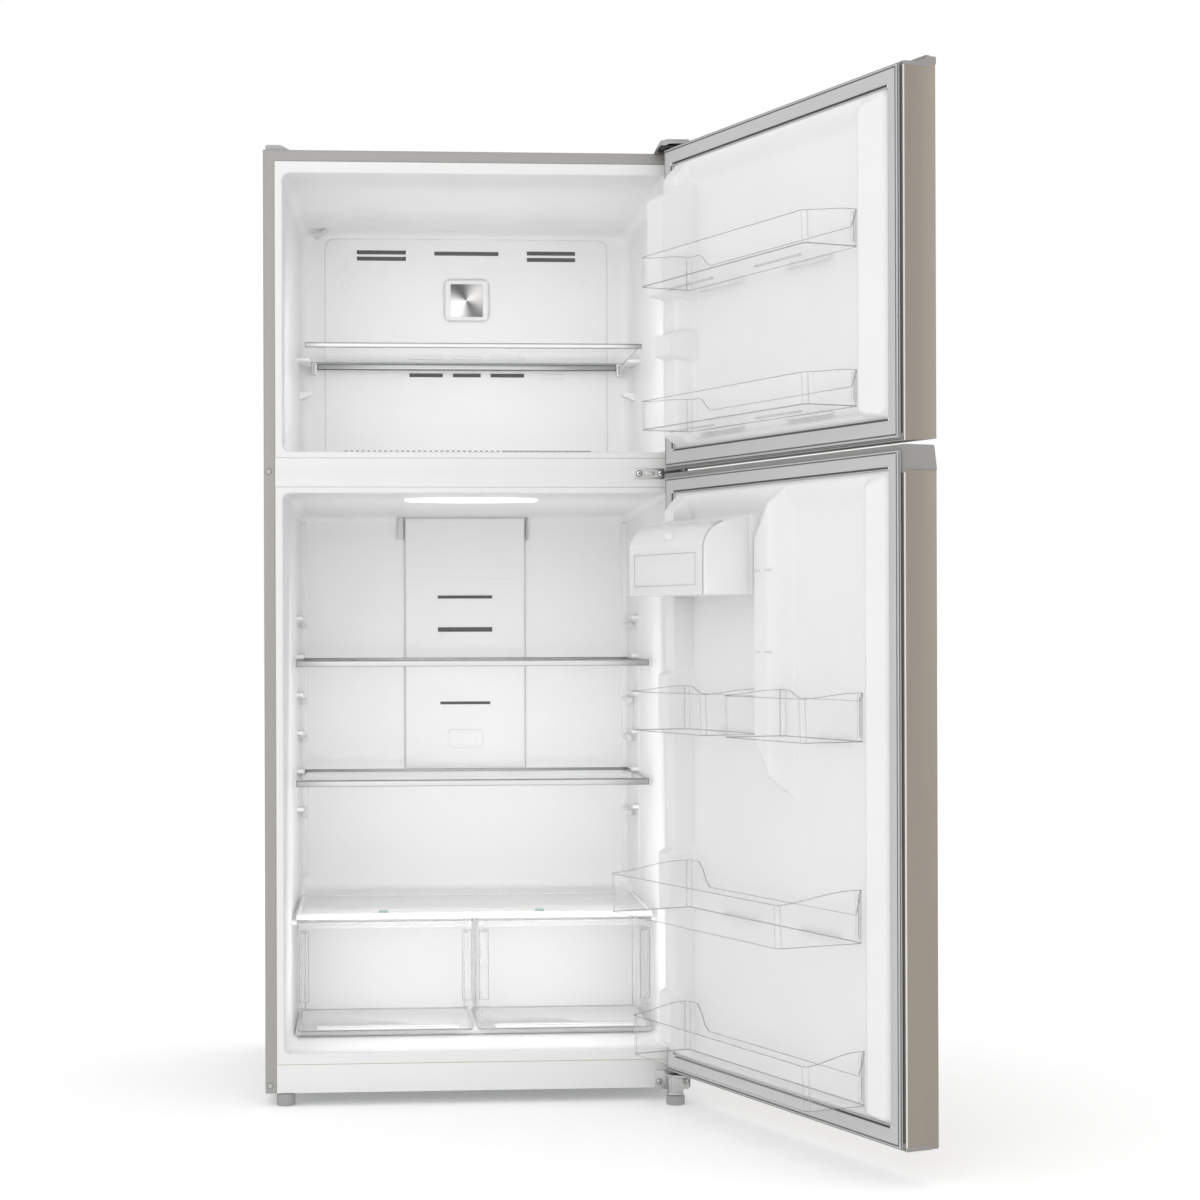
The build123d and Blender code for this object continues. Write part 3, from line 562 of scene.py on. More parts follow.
def freezer_liner():
    front = (344.3, 1157, 1650.9)
    rear = (span("freezer_liner")[1].y, 318, 1160, 1612)
    rows = lip(*front, 14)
    for y in (60, 200, 350, 437, 500, 538):
        rows.append((y, *taper(front, rear, y), 14 + 10 * y / 540))
    for a in range(15, 91, 15):
        y = 538 + 20 * sin(radians(a))
        half, z0, z1 = taper(front, rear, y)
        cut = 20 * (1 - cos(radians(a)))
        rows.append((y, half - cut, z0 + cut, z1 - cut, 24))
    liner("freezer_cavity", "freezer_liner", rows)
    bm = bmesh.new()
    for side in (-1, 1):
        prism(bm, [(side * 334, 1283), (side * 303, 1296), (side * 303, 1302),
                   (side * 334, 1302)], "Y", 402, 432, 1.5)
        block(bm, side * 304, side * 338, 330, 436, 1353.5, 1359.8, 2.5, 3)
    piece("freezer_shelf_rails", bm, [WHITE], slot="liner_white")
    bm = bmesh.new()
    for k in range(44):
        x = -235 + 10 * k
        block(bm, x, x + (5 if k < 28 else 9.2), 9, 13, 1156.2, 1160.2, 0.5)
        block(bm, x + 2, x + 5, 17, 20, 1156.2, 1159.6, 0.5)
    piece("freezer_return_grille", bm, [SHADOW_GREY], slot="liner_white")
    bm = bmesh.new()
    prism(bm, [(-299, 1605), (-292, 1601), (-270, 1617), (-274, 1624)], "Y", 425, 440, 1.5)
    piece("freezer_sensor", bm, [SHADOW_LIGHT], slot="liner_white")


def fridge_liner():
    front = (344.3, 90.9, 1083.5)
    rear = (600, 331, 94, 1071)
    rows = lip(*front, 12)
    for y in (20, 45, 70, 150, 300, 392):
        half, z0, z1 = taper(front, rear, y)
        half -= 7.5 * smooth(y / 70) * (1 - y / 600)
        rows.append((y, half, z0, z1, 12 + 4 * y / 600))
    step = [(399, 95), (404, 101), (406, 110), (428, 285), (431, 295), (437, 301), (446, 303)]
    step += [(520, 310), (582, 317)]
    for y, z0 in step:
        half, _, z1 = taper(front, rear, y)
        rows.append((y, half - 2, z0, z1, 15))
    for a in range(15, 91, 15):
        y = 582 + 17.5 * sin(radians(a))
        half, _, z1 = taper(front, rear, y)
        cut = 16 * (1 - cos(radians(a)))
        rows.append((y, half - 2 - cut, 317 + cut, z1 - cut, 18))
    liner("fridge_cavity", "fridge_liner", rows)
    bm = bmesh.new()
    shelf = span("lower_shelf_glass")[0].z
    for side in (-1, 1):
        for k in range(-1, 5):
            z = shelf + 74.2 * k
            block(bm, side * 316, side * 340, 470, 575, z - 10.5, z - 0.1, 2.5, 3)
            block(bm, side * 319, side * 340, 420, 450, z + 5, z + 15, 2.5, 3, index=1)
        block(bm, side * 317, side * 338, 588, 599, 345, 1058, 5, 3)
        block(bm, side * 326.4, side * 342, 160, 458, 300, 309.6, 2)
    block(bm, -331, 331, 176, 398, 92, 104.6, 5, 4)
    piece("fridge_shelf_rails", bm, [WHITE, SHADOW_LIGHT], slot="liner_white")
    bm = bmesh.new()
    for side in (-1, 1):
        for k in range(-1, 5):
            z = shelf + 74.2 * k
            block(bm, side * 315.4, side * 326, 462, 471, z - 11, z + 1.5, 1.2)
    piece("fridge_rail_ends", bm, [SHADOW_LIGHT], slot="liner_white")


def emblem():
    """Round-cornered frame, a sunk field and a square plate brushed in arcs."""
    lo, hi = span("emblem_badge")
    cz = (lo.z + hi.z) / 2
    half, high = (hi.x - lo.x) / 2, (hi.z - lo.z) / 2
    bm = bmesh.new()
    levels = [(4.9, 0), (0.8, 0), (0, 0.8), (0, 3.6), (0.8, 4.6), (2.6, 4.9), (3.4, 4.2),
              (4.2, 3.2)]
    loft(bm, [plan(-half + c, half - c, lo.z + c, hi.z - c, 14 - min(c, 6), hi.y - up)
              for c, up in levels])
    for face in bm.faces:
        mid = face.calc_center_median()
        if abs(mid.x) > half - 4 or abs(mid.z - cz) > high - 4:
            face.material_index = 1 if face.normal.y > -0.8 and mid.y < hi.y - 4 else 0
    piece("emblem_plate", bm, [WHITE_SATIN, SHADOW_LIGHT], "emblem_badge")
    bm = bmesh.new()
    block(bm, -31.5, 31.5, hi.y - 4.6, hi.y - 2.8, cz - 32, cz + 32, 0.6)
    box_lo, box_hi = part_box("emblem_badge")
    # The plate's bright and dark fans are painted reflections.
    metal = conic_reflection_badge("badge_steel", (0.86, 0.85, 0.84), (0.13, 0.13, 0.13), box_lo, box_hi)
    piece("emblem_metal", bm, [metal], slot="badge_steel")


def freezer_duct():
    """Air duct wall: a raised field with slots, and a border that turns forward to the walls."""
    lo, hi = span("freezer_duct_panel")
    front, z0, z1, half = lo.y, lo.z, hi.z, 277
    bm = bmesh.new()
    rows = []
    for a in range(0, 91, 15):
        c, s = 1 - cos(radians(a)), sin(radians(a))
        rows.append((323.6 - 20 * c, 1159.5 + 4 * c, 1620.3 - 11 * c, front - 24 + 26 * s, 22))
    rows += [(half + 1.8, z0 + 0.6, z1 + 1.2, front + 2.2, 21),
             (half + 1, z0 + 0.4, z1 + 0.8, front + 1.6, 21),
             (half, z0, z1, front + 0.7, 20), (half - 0.7, z0 + 0.7, z1 - 0.7, front, 19.5)]
    loft(bm, [plan(-w, w, a, b, r, y) for w, a, b, y, r in rows], first=False)
    ob = piece("freezer_duct_wall", bm, [WHITE_SATIN], "freezer_duct_panel")
    thicken(ob, 2)
    slots = [(side * 119, side * 214.8, z, 4) for side in (-1, 1) for z in (1582, 1569.5)]
    slots += [(-63.2, 63.2, 1580.5, 4)]
    slots += [(a, b, 1341, 3.8) for a, b in ((-113, -47), (-27.5, 27.5), (47, 113))]
    cut_slots(ob, "freezer_duct_slots", front, slots, 2, 2.6, 1.4, 8)
    bm = bmesh.new()
    for side in (-1, 1):
        lathe(bm, [(10, 1), (10, -0.2), (9.2, -0.7), (8.4, -0.2), (8.2, -0.2), (7.6, -1.1),
                   (2, -1.3)], side * 237, front, 1516, "Y")
    lathe(bm, [(15, 1), (15, -0.3), (14.2, -0.6), (13.4, -0.3), (2, -0.3)], -246, front, 1558,
          "Y", 48)
    for z in (1334, 1342, 1350):
        block(bm, 150, 190, front - 0.7, front + 1, z, z + 2.2, 0.5, index=1)
    # Grey bars above the lower slots are a painted reflection of those slots in the glass shelf.
    for a, b in ((-113, -47), (-27.5, 27.5), (47, 113)):
        block(bm, a, b, front - 0.7, front + 1, 1371.6, 1377.6, 0.5, index=2)
    piece("duct_screw_caps", bm, [WHITE, SHADOW_LIGHT, SHADOW_GREY], slot="panel_white")


def fridge_duct():
    """Air duct cover: a flat tray with rounded edges, slots and a sensor cover."""
    lo, hi = span("fridge_duct_panel")
    bm = bmesh.new()
    front = lo.y + 3
    levels = [(-3, 599.8), (0, front + 3), (0.6, front + 1.2), (2.2, front + 0.1),
              (3.6, front)]
    loft(bm, [plan(lo.x + c, hi.x - c, lo.z, hi.z - c, 1.5, y, 4) for c, y in levels])
    ob = piece("fridge_duct_tray", bm, [WHITE_SATIN], "fridge_duct_panel")
    slots = [(-55, 55, 906.8, 3.2), (-55, 55, 841.2, 4.6), (-50.5, 50.5, 693, 2.9)]
    cut_slots(ob, "fridge_duct_slots", front, slots, 1, 4, 1.5, 6)
    bm = bmesh.new()
    for half, z0, z1, bevel in ((58, 911.8, 913.4, 0.5), (58, 900.2, 901.8, 0.5),
                                (58, 847.6, 849.2, 0.5), (58, 833.2, 834.8, 0.5),
                                (117, 944, 945.4, 0.4), (117, 967, 968.2, 0.4)):
        block(bm, -half, half, front - 0.5, front + 1, z0, z1, bevel)
    piece("fridge_duct_trim", bm, [WHITE_SATIN], slot="panel_white")
    bm = bmesh.new()
    levels = [(0, front + 0.5), (0, front - 1.6), (0.9, front - 2.8), (2.6, front - 3),
              (4.4, front - 2.2), (5.4, front - 1.6)]
    loft(bm, [plan(-35.5 + c, 35.5 - c, 603 + c, 640 - c, max(8 - c, 3), y, 6)
              for c, y in levels])
    piece("sensor_cover", bm, [WHITE], slot="panel_white")
    bm = bmesh.new()
    block(bm, -136, -123.8, 590.5, 600, 1022, 1068, 2)
    block(bm, -126, -122.5, 590, 600, 1054, 1068, 1, index=1)
    block(bm, 123.8, 128, 590.5, 600, 1022, 1068, 1.5, index=1)
    piece("duct_side_clips", bm, [SHADOW_LIGHT, SHADOW_GREY], slot="panel_white")


def lamp():
    lo, hi = span("fridge_light_lens")
    cx, cy = (lo.x + hi.x) / 2, (lo.y + hi.y) / 2
    a, b = (hi.x - lo.x) / 2 - 8, (hi.y - lo.y) / 2 - 24
    cx, cy = cx - 5, cy + 22
    bm = bmesh.new()
    levels = [(0.99, hi.z + 1.5), (1, lo.z + 2.5), (0.985, lo.z + 0.8), (0.95, lo.z + 0.1),
              (0.7, lo.z - 0.4), (0.3, lo.z - 0.6)]
    loft(bm, [turned(f, 72, lambda c, s: (cx + a * c, cy + b * s, z)) for f, z in levels])
    piece("ceiling_lens", bm, [LENS], "fridge_light_lens")


def front_covers():
    lo, hi = span("mullion_cover")
    bm = bmesh.new()
    mid = (lo.z + hi.z) / 2
    profile = [(lo.z, 1.2), (lo.z, 0.5), (lo.z + 0.6, 0), (mid + 2, -0.3), (mid + 3.4, -1),
               (mid + 6, -1.1), (mid + 7.4, -0.3), (hi.z - 0.6, 0), (hi.z, 0.5), (hi.z, 1.2)]
    prism(bm, [(y, z) for z, y in profile], "X", lo.x + 0.4, hi.x - 0.4)
    piece("mullion_strip", bm, [WHITE], "mullion_cover")
    lo, hi = span("kick_panel")
    bm = bmesh.new()
    block(bm, lo.x + 0.4, hi.x - 0.4, 0, 1.2, lo.z, hi.z - 0.3, 0.5)
    piece("kick_plate", bm, [WHITE_SATIN], "kick_panel")


def back_and_base():
    lo, hi = span("back_panel")
    bm = bmesh.new()
    block(bm, lo.x, hi.x, hi.y - 1.2, hi.y, lo.z, hi.z, 0.3, 1)
    for x in (-230, 0, 230):
        block(bm, x - 95, x + 95, hi.y - 1, hi.y + 1.6, lo.z + 60, hi.z - 60, 1.2)
    piece("rear_panel", bm, [GALVANISED], "back_panel")
    for mat, nodes in ((GALVANISED, ("base_pan", "compressor_cover")), (FOAM, ("cabinet_foam",)),
                       (BLACK_METAL, ("drain_pan", "condenser_coil", "compressor")),
                       (ALUMINIUM, ("evaporator_coil",)), (ZINC, ("fan_motor",)),
                       (WHITE_SATIN, ("evaporator_fan",))):
        for node in nodes:
            NODES[node].data.materials.clear()
            NODES[node].data.materials.append(mat)
    places = [(x, lo.z - 8) for x in range(-330, 331, 60)]
    places += [(side * 366, z) for side in (-1, 1) for z in range(360, 1660, 210)]
    bm = bmesh.new()
    for x, z in places:
        lathe(bm, [(4.5, -1), (4.5, 0.6), (3.6, 1.6), (1.2, 1.9)], x, hi.y, z, "Y", 20)
    piece("rear_screws", bm, [ZINC], slot="zinc_steel")


# ---- hinges, feet and rollers
def screw(bm, x, y, z, r, axis="Y"):
    """Pan head with a dark ring of painted shadow under it and its cross recess painted dark as
    shade, standing towards the front or up.
    """
    sign = -1 if axis == "Y" else 1
    lathe(bm, [(r * 1.28, 0), (r * 1.28, sign * 0.25), (r * 0.9, sign * 0.3)], x, y, z, axis, 28,
          index=1)
    lathe(bm, [(r, 0), (r, sign * 0.9), (r * 0.86, sign * 1.7), (r * 0.5, sign * 2.1),
               (r * 0.2, sign * 2.2)], x, y, z, axis, 28)
    for a, b in ((r * 0.6, r * 0.16), (r * 0.16, r * 0.6)):
        flat, upright = ((-2.3, -1.9), (-b, b)) if axis == "Y" else ((-b, b), (1.9, 2.3))
        block(bm, x - a, x + a, y + flat[0], y + flat[1], z + upright[0], z + upright[1],
              index=1)


def hinges():
    pin = (361.4, -31.2)
    soften("top_hinge_bracket", BLACK_METAL, 0.6)
    left = span("middle_hinge_bracket")[0].x
    bm = bmesh.new()
    block(bm, left, 334, -3, 0, 1109, 1128, 1)
    block(bm, left + 3, 331, -3.5, -2.8, 1112, 1125, 0.3, 1)
    block(bm, 300, 317, -4, -3.3, 1115.5, 1122.5, 0.4)
    piece("middle_hinge_plate", bm, [ZINC], "middle_hinge_bracket")
    bm = bmesh.new()
    prism(bm, [(332.5, 0), (332.5, -22), (348, -43), (354, -46), (368, -46), (373, -42),
               (374, -36), (374, 0)], "Z", 1118.5, 1121.5, 0.5)
    piece("middle_hinge_arm", bm, [BLACK_METAL], slot="black_metal")
    bm = bmesh.new()
    lathe(bm, [(4, -13), (5, -12), (5, 10.5), (4, 11.5)], *pin, 1120, "Z", 28)
    lathe(bm, [(8.5, -1.9), (8.5, -1.2), (6, -1.2)], *pin, 1120, "Z", 28)
    lathe(bm, [(8.5, 1.9), (8.5, 1.3), (6, 1.3)], *pin, 1120, "Z", 28)
    piece("middle_hinge_pin", bm, [SCREW_STEEL], slot="zinc_steel")
    bottom_hinge(pin)
    bm = bmesh.new()
    for x in (289, 327.6):
        screw(bm, x, -3.4, 1119, 4.6)
    for x in (322, 369.5):
        screw(bm, x, -3, 33, 4.3)
    for y in (24, 56):
        screw(bm, 336, y, span("top_hinge_bracket")[1].z, 5, "Z")
    piece("hinge_screw_heads", bm, [SCREW_STEEL, LIP_DARK], "hinge_screws")
    bm = bmesh.new()
    z0, z1 = CAB_TOP + 0.2, span("hinge_covers")[1].z
    def crest(z):
        return arc(334, z - 5, 5, 150, 90, 5) + arc(372, z - 5, 5, 90, 0, 5)
    prism(bm, [(316, z0), (321, z0 + 1.5)] + crest(z1) + [(377, z0)], "Y", 4.5, 78, 2, 3)
    roof = 1707.6
    prism(bm, [(318.5, z0 + 2), (321, z0 + 2), *arc(337, roof - 7, 5, 150, 90, 4),
               (370, roof - 2.2), (374.5, roof - 6), (374.5, z0 + 2)]
          + [(377, z0 + 2)] + arc(372, roof - 5, 5, 0, 90, 5) + arc(335, roof - 5, 5, 90, 150, 5),
          "Y", -49, 5, 0.5)
    prism(bm, [(321, 1696.5), (331.5, roof - 1), (371, roof - 1), (375.6, roof - 5),
               (375.6, 1700.2), (340, 1700.2), (334, 1696.5)], "Y", -48.6, -46.8, 0.4)
    piece("top_hinge_cover", bm, [PLUG_GREY], "hinge_covers")
    bm = bmesh.new()
    prism(bm, [(-375, z0), (-373.5, 1700.5), (-371, 1702), (-348, 1702), (-344, 1700.5),
               (-328, z0)], "Y", 12, 62, 1)
    for z in (1121.5, 35.5):
        lathe(bm, [(4.6, 0), (4.6, -0.8), (3.6, -1.6), (1, -1.8)], -369.2, 0, z, "Y", 24)
        # The dark ring round each cover is painted shade.
        lathe(bm, [(5.6, 0), (5.6, -0.2), (4.4, -0.25)], -369.2, 0, z, "Y", 24, index=1)
    piece("hole_covers", bm, [PLUG_GREY, GROOVE_SHADE], slot="cap_grey")


def bottom_hinge(pin):
    """Flanged plate, an arm with a pin socket, and the boss that the front foot screws into."""
    x, y = 346, -40
    bm = bmesh.new()
    prism(bm, [(314, 21), (316, 19), (374, 19), (376, 21), (376, 51), (374, 53), (316, 53),
               (314, 51)], "Y", -3, 0, 0.7)
    prism(bm, [(330, -3), (330, -44), (340, -56), (352, -58), (366, -58), (373, -52),
               (374, -44), (374, -3)], "Z", 49, 53, 0.6)
    block(bm, x - 12.5, x + 12.5, y - 12.5, -3, 19, 49.2, 1.6, 3)
    prism(bm, [(x - 12.5, 22), (x - 15, 17.2), (x + 15, 17.2), (x + 12.5, 22)], "Y",
          y - 13.5, y + 10, 0.8)
    for side in (-1, 1):
        block(bm, x + side * 8.5, x + side * 12.9, y - 13.3, y - 11.5, 24, 46, 0.6)
    piece("bottom_hinge_plate", bm, [ZINC], "bottom_hinge_bracket")
    bm = bmesh.new()
    lathe(bm, [(4, 0), (5, 0.2), (5, 12), (4, 13)], *pin, 53, "Z", 28)
    lathe(bm, [(9, 0), (9, 1.6), (6, 2.2)], *pin, 53, "Z", 28)
    piece("bottom_hinge_pin", bm, [SCREW_STEEL], slot="zinc_steel")
    bm = bmesh.new()
    lathe(bm, [(6.5, 0), (6.5, 1.2), (5, 1.4)], x, y - 1, 49, "Z", 28)
    block(bm, 376.2, 377.6, -2.8, -0.6, 22, 50, 0.4, 1)
    piece("bottom_hinge_shim", bm, [LIP_DARK], slot="zinc_steel")


def foot(side):
    """Levelling foot: a ribbed knob on a threaded stem."""
    node = f"foot_{side}"
    lo, hi = span(node)
    x, y, r = (lo.x + hi.x) / 2, (lo.y + hi.y) / 2, (hi.x - lo.x) / 2
    top = 21 if side == "left" else 16.5
    bm = bmesh.new()
    rings = []
    count = 96
    levels = [(r - 3, 0), (r - 0.8, 0.2), (r, 1.2), (r, top - 3), (r - 1, top - 0.8),
              (r - 3, top)]
    for k, (radius, z) in enumerate(levels):
        points = []
        for i in range(count):
            t = 2 * pi * i / count
            dent = 0.9 * (0.5 + 0.5 * cos(16 * t)) ** 2 if 1 < k < 4 else 0
            points.append((x + (radius - dent) * cos(t), y + (radius - dent) * sin(t), z))
        rings.append(points)
    loft(bm, rings)
    profile = [(4.9, top - 1)]
    z = top
    while z < hi.z - 1:
        profile += [(4.9, z), (4.2, z + 0.6)]
        z += 1.25
    lathe(bm, profile + [(4.9, hi.z)], x, y, 0, "Z", 28, index=1)
    piece(f"levelling_foot_{side}", bm, [FOOT_GREY, ZINC], node)


def roller(side):
    node = f"roller_{side}"
    lo, hi = span(node)
    y, z, r = (lo.y + hi.y) / 2, (lo.z + hi.z) / 2, (hi.z - lo.z) / 2
    bm = bmesh.new()
    width = hi.x - lo.x
    profile = [(4.05, 0), (7, 0), (8, 2), (r - 3, 2), (r - 2, 0.5), (r - 0.6, 0.6), (r, 2),
               (r, width - 2), (r - 0.6, width - 0.6), (r - 2, width - 0.5), (r - 3, width - 2),
               (8, width - 2), (7, width), (4.05, width)]
    skin(bm, [ring(bm, turned(q, 48, lambda c, s: (lo.x + h, y + c, z + s)))
              for q, h in profile], loop=True)
    piece(f"rear_roller_{side}", bm, [FOOT_GREY], node)


# ---- shelves and crispers
def shelf(name):
    """Glass pane with a silver front trim and a dark bar along its rear."""
    lo, hi = span(name + "_glass")
    bm = bmesh.new()
    block(bm, lo.x, hi.x, lo.y, hi.y, lo.z, hi.z, 1.2)
    for face in bm.faces:
        side = abs(face.normal.z) < 0.5
        face.material_index = 1 if side else 0
    piece(name + "_pane", bm, [GLASS, GLASS_EDGE], name + "_glass")
    lo, hi = span(name + "_trims")
    bm = bmesh.new()
    z0, z1, y0 = lo.z, hi.z, lo.y
    if name == "freezer_shelf":
        z0 = z1 - 9
    front = [(y0 + 14, z1), (y0 + 3, z1), (y0 + 0.8, z1 - 1.2), (y0, z1 - 2.6), (y0, z0 + 2),
             (y0 + 0.7, z0 + 0.7), (y0 + 2.4, z0), (y0 + 8, z0), (y0 + 9, z0 + 1),
             (y0 + 9, z1 - 5.4), (y0 + 14, z1 - 5.4)]
    half = 308.3 if name == "freezer_shelf" else hi.x
    prism(bm, front, "X", -half, half)
    # Dark lines where the trim's face rounds over at its top and bottom are painted shade.
    block(bm, -half, half, y0 - 0.25, y0 + 2, z1 - 2.1, z1 - 1.5, 0.1, 1, index=1)
    block(bm, -half, half, y0 - 0.25, y0 + 2, z0 + 0.6, z0 + 1.5, 0.1, 1, index=1)
    pair(bm, half - 1.4, half + 0.2, y0 - 0.3, y0 + 9.5, z0 + 0.4, z1 - 0.4, 0.4, 1, index=1)
    if name == "freezer_shelf":
        block(bm, -293, 293, hi.y - 13, hi.y, 1348.6, 1360, 1.5, 3, index=1)
        block(bm, -292.6, 292.6, hi.y - 13.4, hi.y - 5, 1353.2, 1357.4, 0.6)
        pair(bm, 293, 303, hi.y - 18, hi.y, 1338, 1361, 2.5, 3, index=2)
    else:
        block(bm, -327.5, 327.5, hi.y - 6, hi.y, z1 - 5.2, z1 + 0.2, 0.8, index=1)
        pair(bm, 325.9, 327.9, y0 + 12, hi.y - 5, z1 - 3.6, z1 - 0.6, 0.4, 1)
    piece(name + "_rails", bm, [TRIM, TRIM_DARK, WHITE], name + "_trims")


def tub(bm, x0, x1, y0, y1, z0, wall, top, r=10, foot=2.6, lean=0, floor=0):
    """Open tub with a folded rim; top(x, y) is the height of its rim, and the front leans out."""
    steps, nx, ny = 5, 40, 10
    def outline(inset):
        return rounded(x0 + inset, x1 - inset, y0 + inset, y1 - inset, max(r - inset, 1.5),
                       steps, nx, ny)
    def level(inset, height):
        points = []
        for (x, y), (ox, oy) in zip(outline(inset), outline(0)):
            z = height(ox, oy)
            push = lean * max(0, z - z0) / 60 * smooth((oy - y0) / (y1 - y0))
            points.append((x, y + push, z))
        return ring(bm, points)
    rows = []
    for k in range(4):
        a = radians(30 * k)
        rows.append(level(foot * (1 - sin(a)), lambda x, y, h=foot * (1 - cos(a)): z0 + h))
    outer_foot = len(rows)
    for f in (0.34, 0.67):
        rows.append(level(0, lambda x, y, f=f: z0 + foot + (top(x, y) - z0 - foot) * f))
    rows.append(level(0, lambda x, y: top(x, y) - 0.9))
    rows.append(level(0.5, lambda x, y: top(x, y)))
    rim = len(rows)
    rows.append(level(wall - 0.5, lambda x, y: top(x, y)))
    rows.append(level(wall, lambda x, y: top(x, y) - 0.6))
    rows.append(level(wall, lambda x, y: top(x, y) - 4))
    count = len(rows[0])
    corner = set()
    place = 0
    for k in range(4):
        corner |= {place, place + steps - 1}
        place += steps + 1 + (ny if k % 2 else nx)
    # The foot and rim bands take the edge grey and the corner columns the corner grey: painted
    # edge shade.
    for n, (a, b) in enumerate(zip(rows, rows[1:])):
        for i in range(count):
            j = (i + 1) % count
            face = bm.faces.new((a[i], a[j], b[j], b[i]))
            if n < outer_foot - 1 or rim - 2 <= n <= rim:
                rear = floor and n < outer_foot and a[i].co.y > y0 + r
                face.material_index = 2 if rear else 1
            elif i in corner and n < rim:
                face.material_index = 2
    bm.faces.new(rows[0]).material_index = floor


def crisper(side):
    """Clear drawer: a hooked front lip, moulded side channels and a white floor."""
    node = f"crisper_{side}"
    lo, hi = span(node)
    y0 = lo.y + 9
    bm = bmesh.new()
    tub(bm, lo.x, hi.x, y0, hi.y, lo.z, 2.6, lambda x, y: hi.z - 1.2, r=9, foot=3, floor=3)
    lip_y = [(lo.y, hi.z - 12), (lo.y, hi.z - 2.4), (lo.y + 1.2, hi.z - 1.2),
             (y0 + 0.5, hi.z - 1.2), (y0 + 0.5, hi.z - 3.4), (lo.y + 2.4, hi.z - 3.4),
             (lo.y + 2.4, hi.z - 12)]
    # The front lip is whiter as a painted highlight.
    prism(bm, lip_y, "X", lo.x + 4, hi.x - 4, 0.3, 1, index=4)
    # The side channels are drawn as grey strips: painted edge shade.
    for x in (lo.x + 3, hi.x - 21):
        for a, b in ((0, 1.2), (16.8, 18)):
            block(bm, x + a, x + b, y0 - 0.7, y0 + 0.6, 160, 290, 0.4, 1, index=1)
        for z in (160, 289, 148):
            block(bm, x, x + 18, y0 - 0.7, y0 + 0.6, z, z + 1.1, 0.4, 1, index=2)
        block(bm, x + 3, x + 15, y0 - 0.5, y0 + 8, 285, 289, 0.8, index=1)
    block(bm, lo.x + 34, hi.x - 26, y0 + 6, y0 + 42, lo.z + 2, lo.z + 6, 1.8, 3, index=5)
    piece(f"{node}_drawer", bm,
          [CRISPER, CLEAR_EDGE_SHADE, CLEAR_CORNER_SHADE, CRISPER_FLOOR, CLEAR_LIP_HIGHLIGHT, WHITE], node)


def crisper_cover():
    lo, hi = span("crisper_cover")
    bm = bmesh.new()
    top, low = hi.z, hi.z - 11
    profile = [(lo.y, low), (lo.y, top - 2), (lo.y + 1, top - 0.4), (lo.y + 3, top),
               (hi.y - 2, top), (hi.y, top - 2), (hi.y, top - 4), (lo.y + 6, top - 4),
               (lo.y + 5.2, top - 5), (lo.y + 5.2, low)]
    prism(bm, profile, "X", lo.x, hi.x, 0.3, 1)
    ob = piece("crisper_roof", bm, [COVER], "crisper_cover")
    slots = bmesh.new()
    for x in SLIDERS:
        block(slots, x - 32, x + 32, 151, 155, top - 12, top + 3)
    cut_out(ob, slots)
    rib = bmesh.new()
    block(rib, -hi.x, -325.2, lo.y + 4, 460, low - 0.2, top - 2, 0.5, 1)
    join(ob, rib)
    bm = bmesh.new()
    block(bm, lo.x + 3, hi.x - 3, hi.y - 24, hi.y - 3, top - 0.5, top + 0.5, 0.4)
    block(bm, lo.x + 2, hi.x - 2, lo.y + 3, lo.y + 8, top - 0.5, top + 0.4, 0.4)
    pair(bm, 318, 325, lo.y + 10, hi.y - 26, top - 0.5, top + 0.5, 0.4)
    piece("crisper_cover_rim", bm, [WHITE], slot="clear_plastic")
    bm = bmesh.new()
    # Grey lines along the cover's edges are painted edge shade.
    block(bm, lo.x, hi.x, lo.y - 0.3, lo.y + 0.6, low, low + 1, 0.3, 1)
    block(bm, lo.x, hi.x, lo.y + 1, lo.y + 2, top - 0.3, top + 0.3, 0.2, 1)
    block(bm, lo.x + 1, hi.x - 1, hi.y - 1, hi.y - 0.2, top - 0.4, top + 0.3, 0.2, 1)
    piece("crisper_cover_lines", bm, [CLEAR_CORNER_SHADE], slot="clear_plastic")
    for side in ("left", "right"):
        soften(f"humidity_slider_{side}", SLIDER_GREEN, 0.5)


# ---- doors
def door_panel(door, z0, z1, rise):
    """Folded stainless sheet: outer face with rounded edges, sides and inner returns."""
    r, t = 3, 1
    h = HALF
    left = arc(-h + r, DOOR_OUT + r, r, 180, 270, 6)
    right = arc(h - r, DOOR_OUT + r, r, 270, 360, 6)
    inner_r = r - t
    inner = (arc(h - r, DOOR_OUT + r, inner_r, 360, 270, 6)
             + arc(-h + r, DOOR_OUT + r, inner_r, 270, 180, 6))
    lip_x, fold = 14, 3
    ramp = [(-h + fold, DOOR_IN), (-h + 1.2, DOOR_IN), (-h + 0.35, DOOR_IN - 0.35),
            (-h, DOOR_IN - 1.2)]
    fall = [(-x, y) for x, y in reversed(ramp)]
    outline = ([(-h + lip_x, DOOR_IN - 1)] + ramp + left + right + fall
               + [(h - lip_x, DOOR_IN - 1), (h - lip_x, DOOR_IN - 1 - t),
                  (h - t, DOOR_IN - 1 - t)] + inner
               + [(-h + t, DOOR_IN - 1 - t), (-h + lip_x, DOOR_IN - 1 - t)])
    bm = bmesh.new()
    prism(bm, outline, "Z", z0, z1)
    for v in bm.verts:
        if v.co.z < z0 + 1:
            v.co.z += rise * (DOOR_IN - v.co.y) / (DOOR_IN - DOOR_OUT)
    # On the inner return, a band along each side edge gets the light steel as painted highlight,
    # and the rest of the lip gets the lip grey as painted shade.
    for face in bm.faces:
        mid = face.calc_center_median()
        if all(v.co.y > DOOR_IN - 1.3 for v in face.verts):
            face.material_index = 1 if abs(mid.x) > h - fold else 2
    node = f"{door}_panel"
    ob = piece(f"{door}_wrap", bm, [DOOR_STEEL, EDGE_HIGHLIGHT_STEEL, LIP_DARK], node)
    if door == "fridge_door":
        cut_niche(ob, 8, 20, 1)


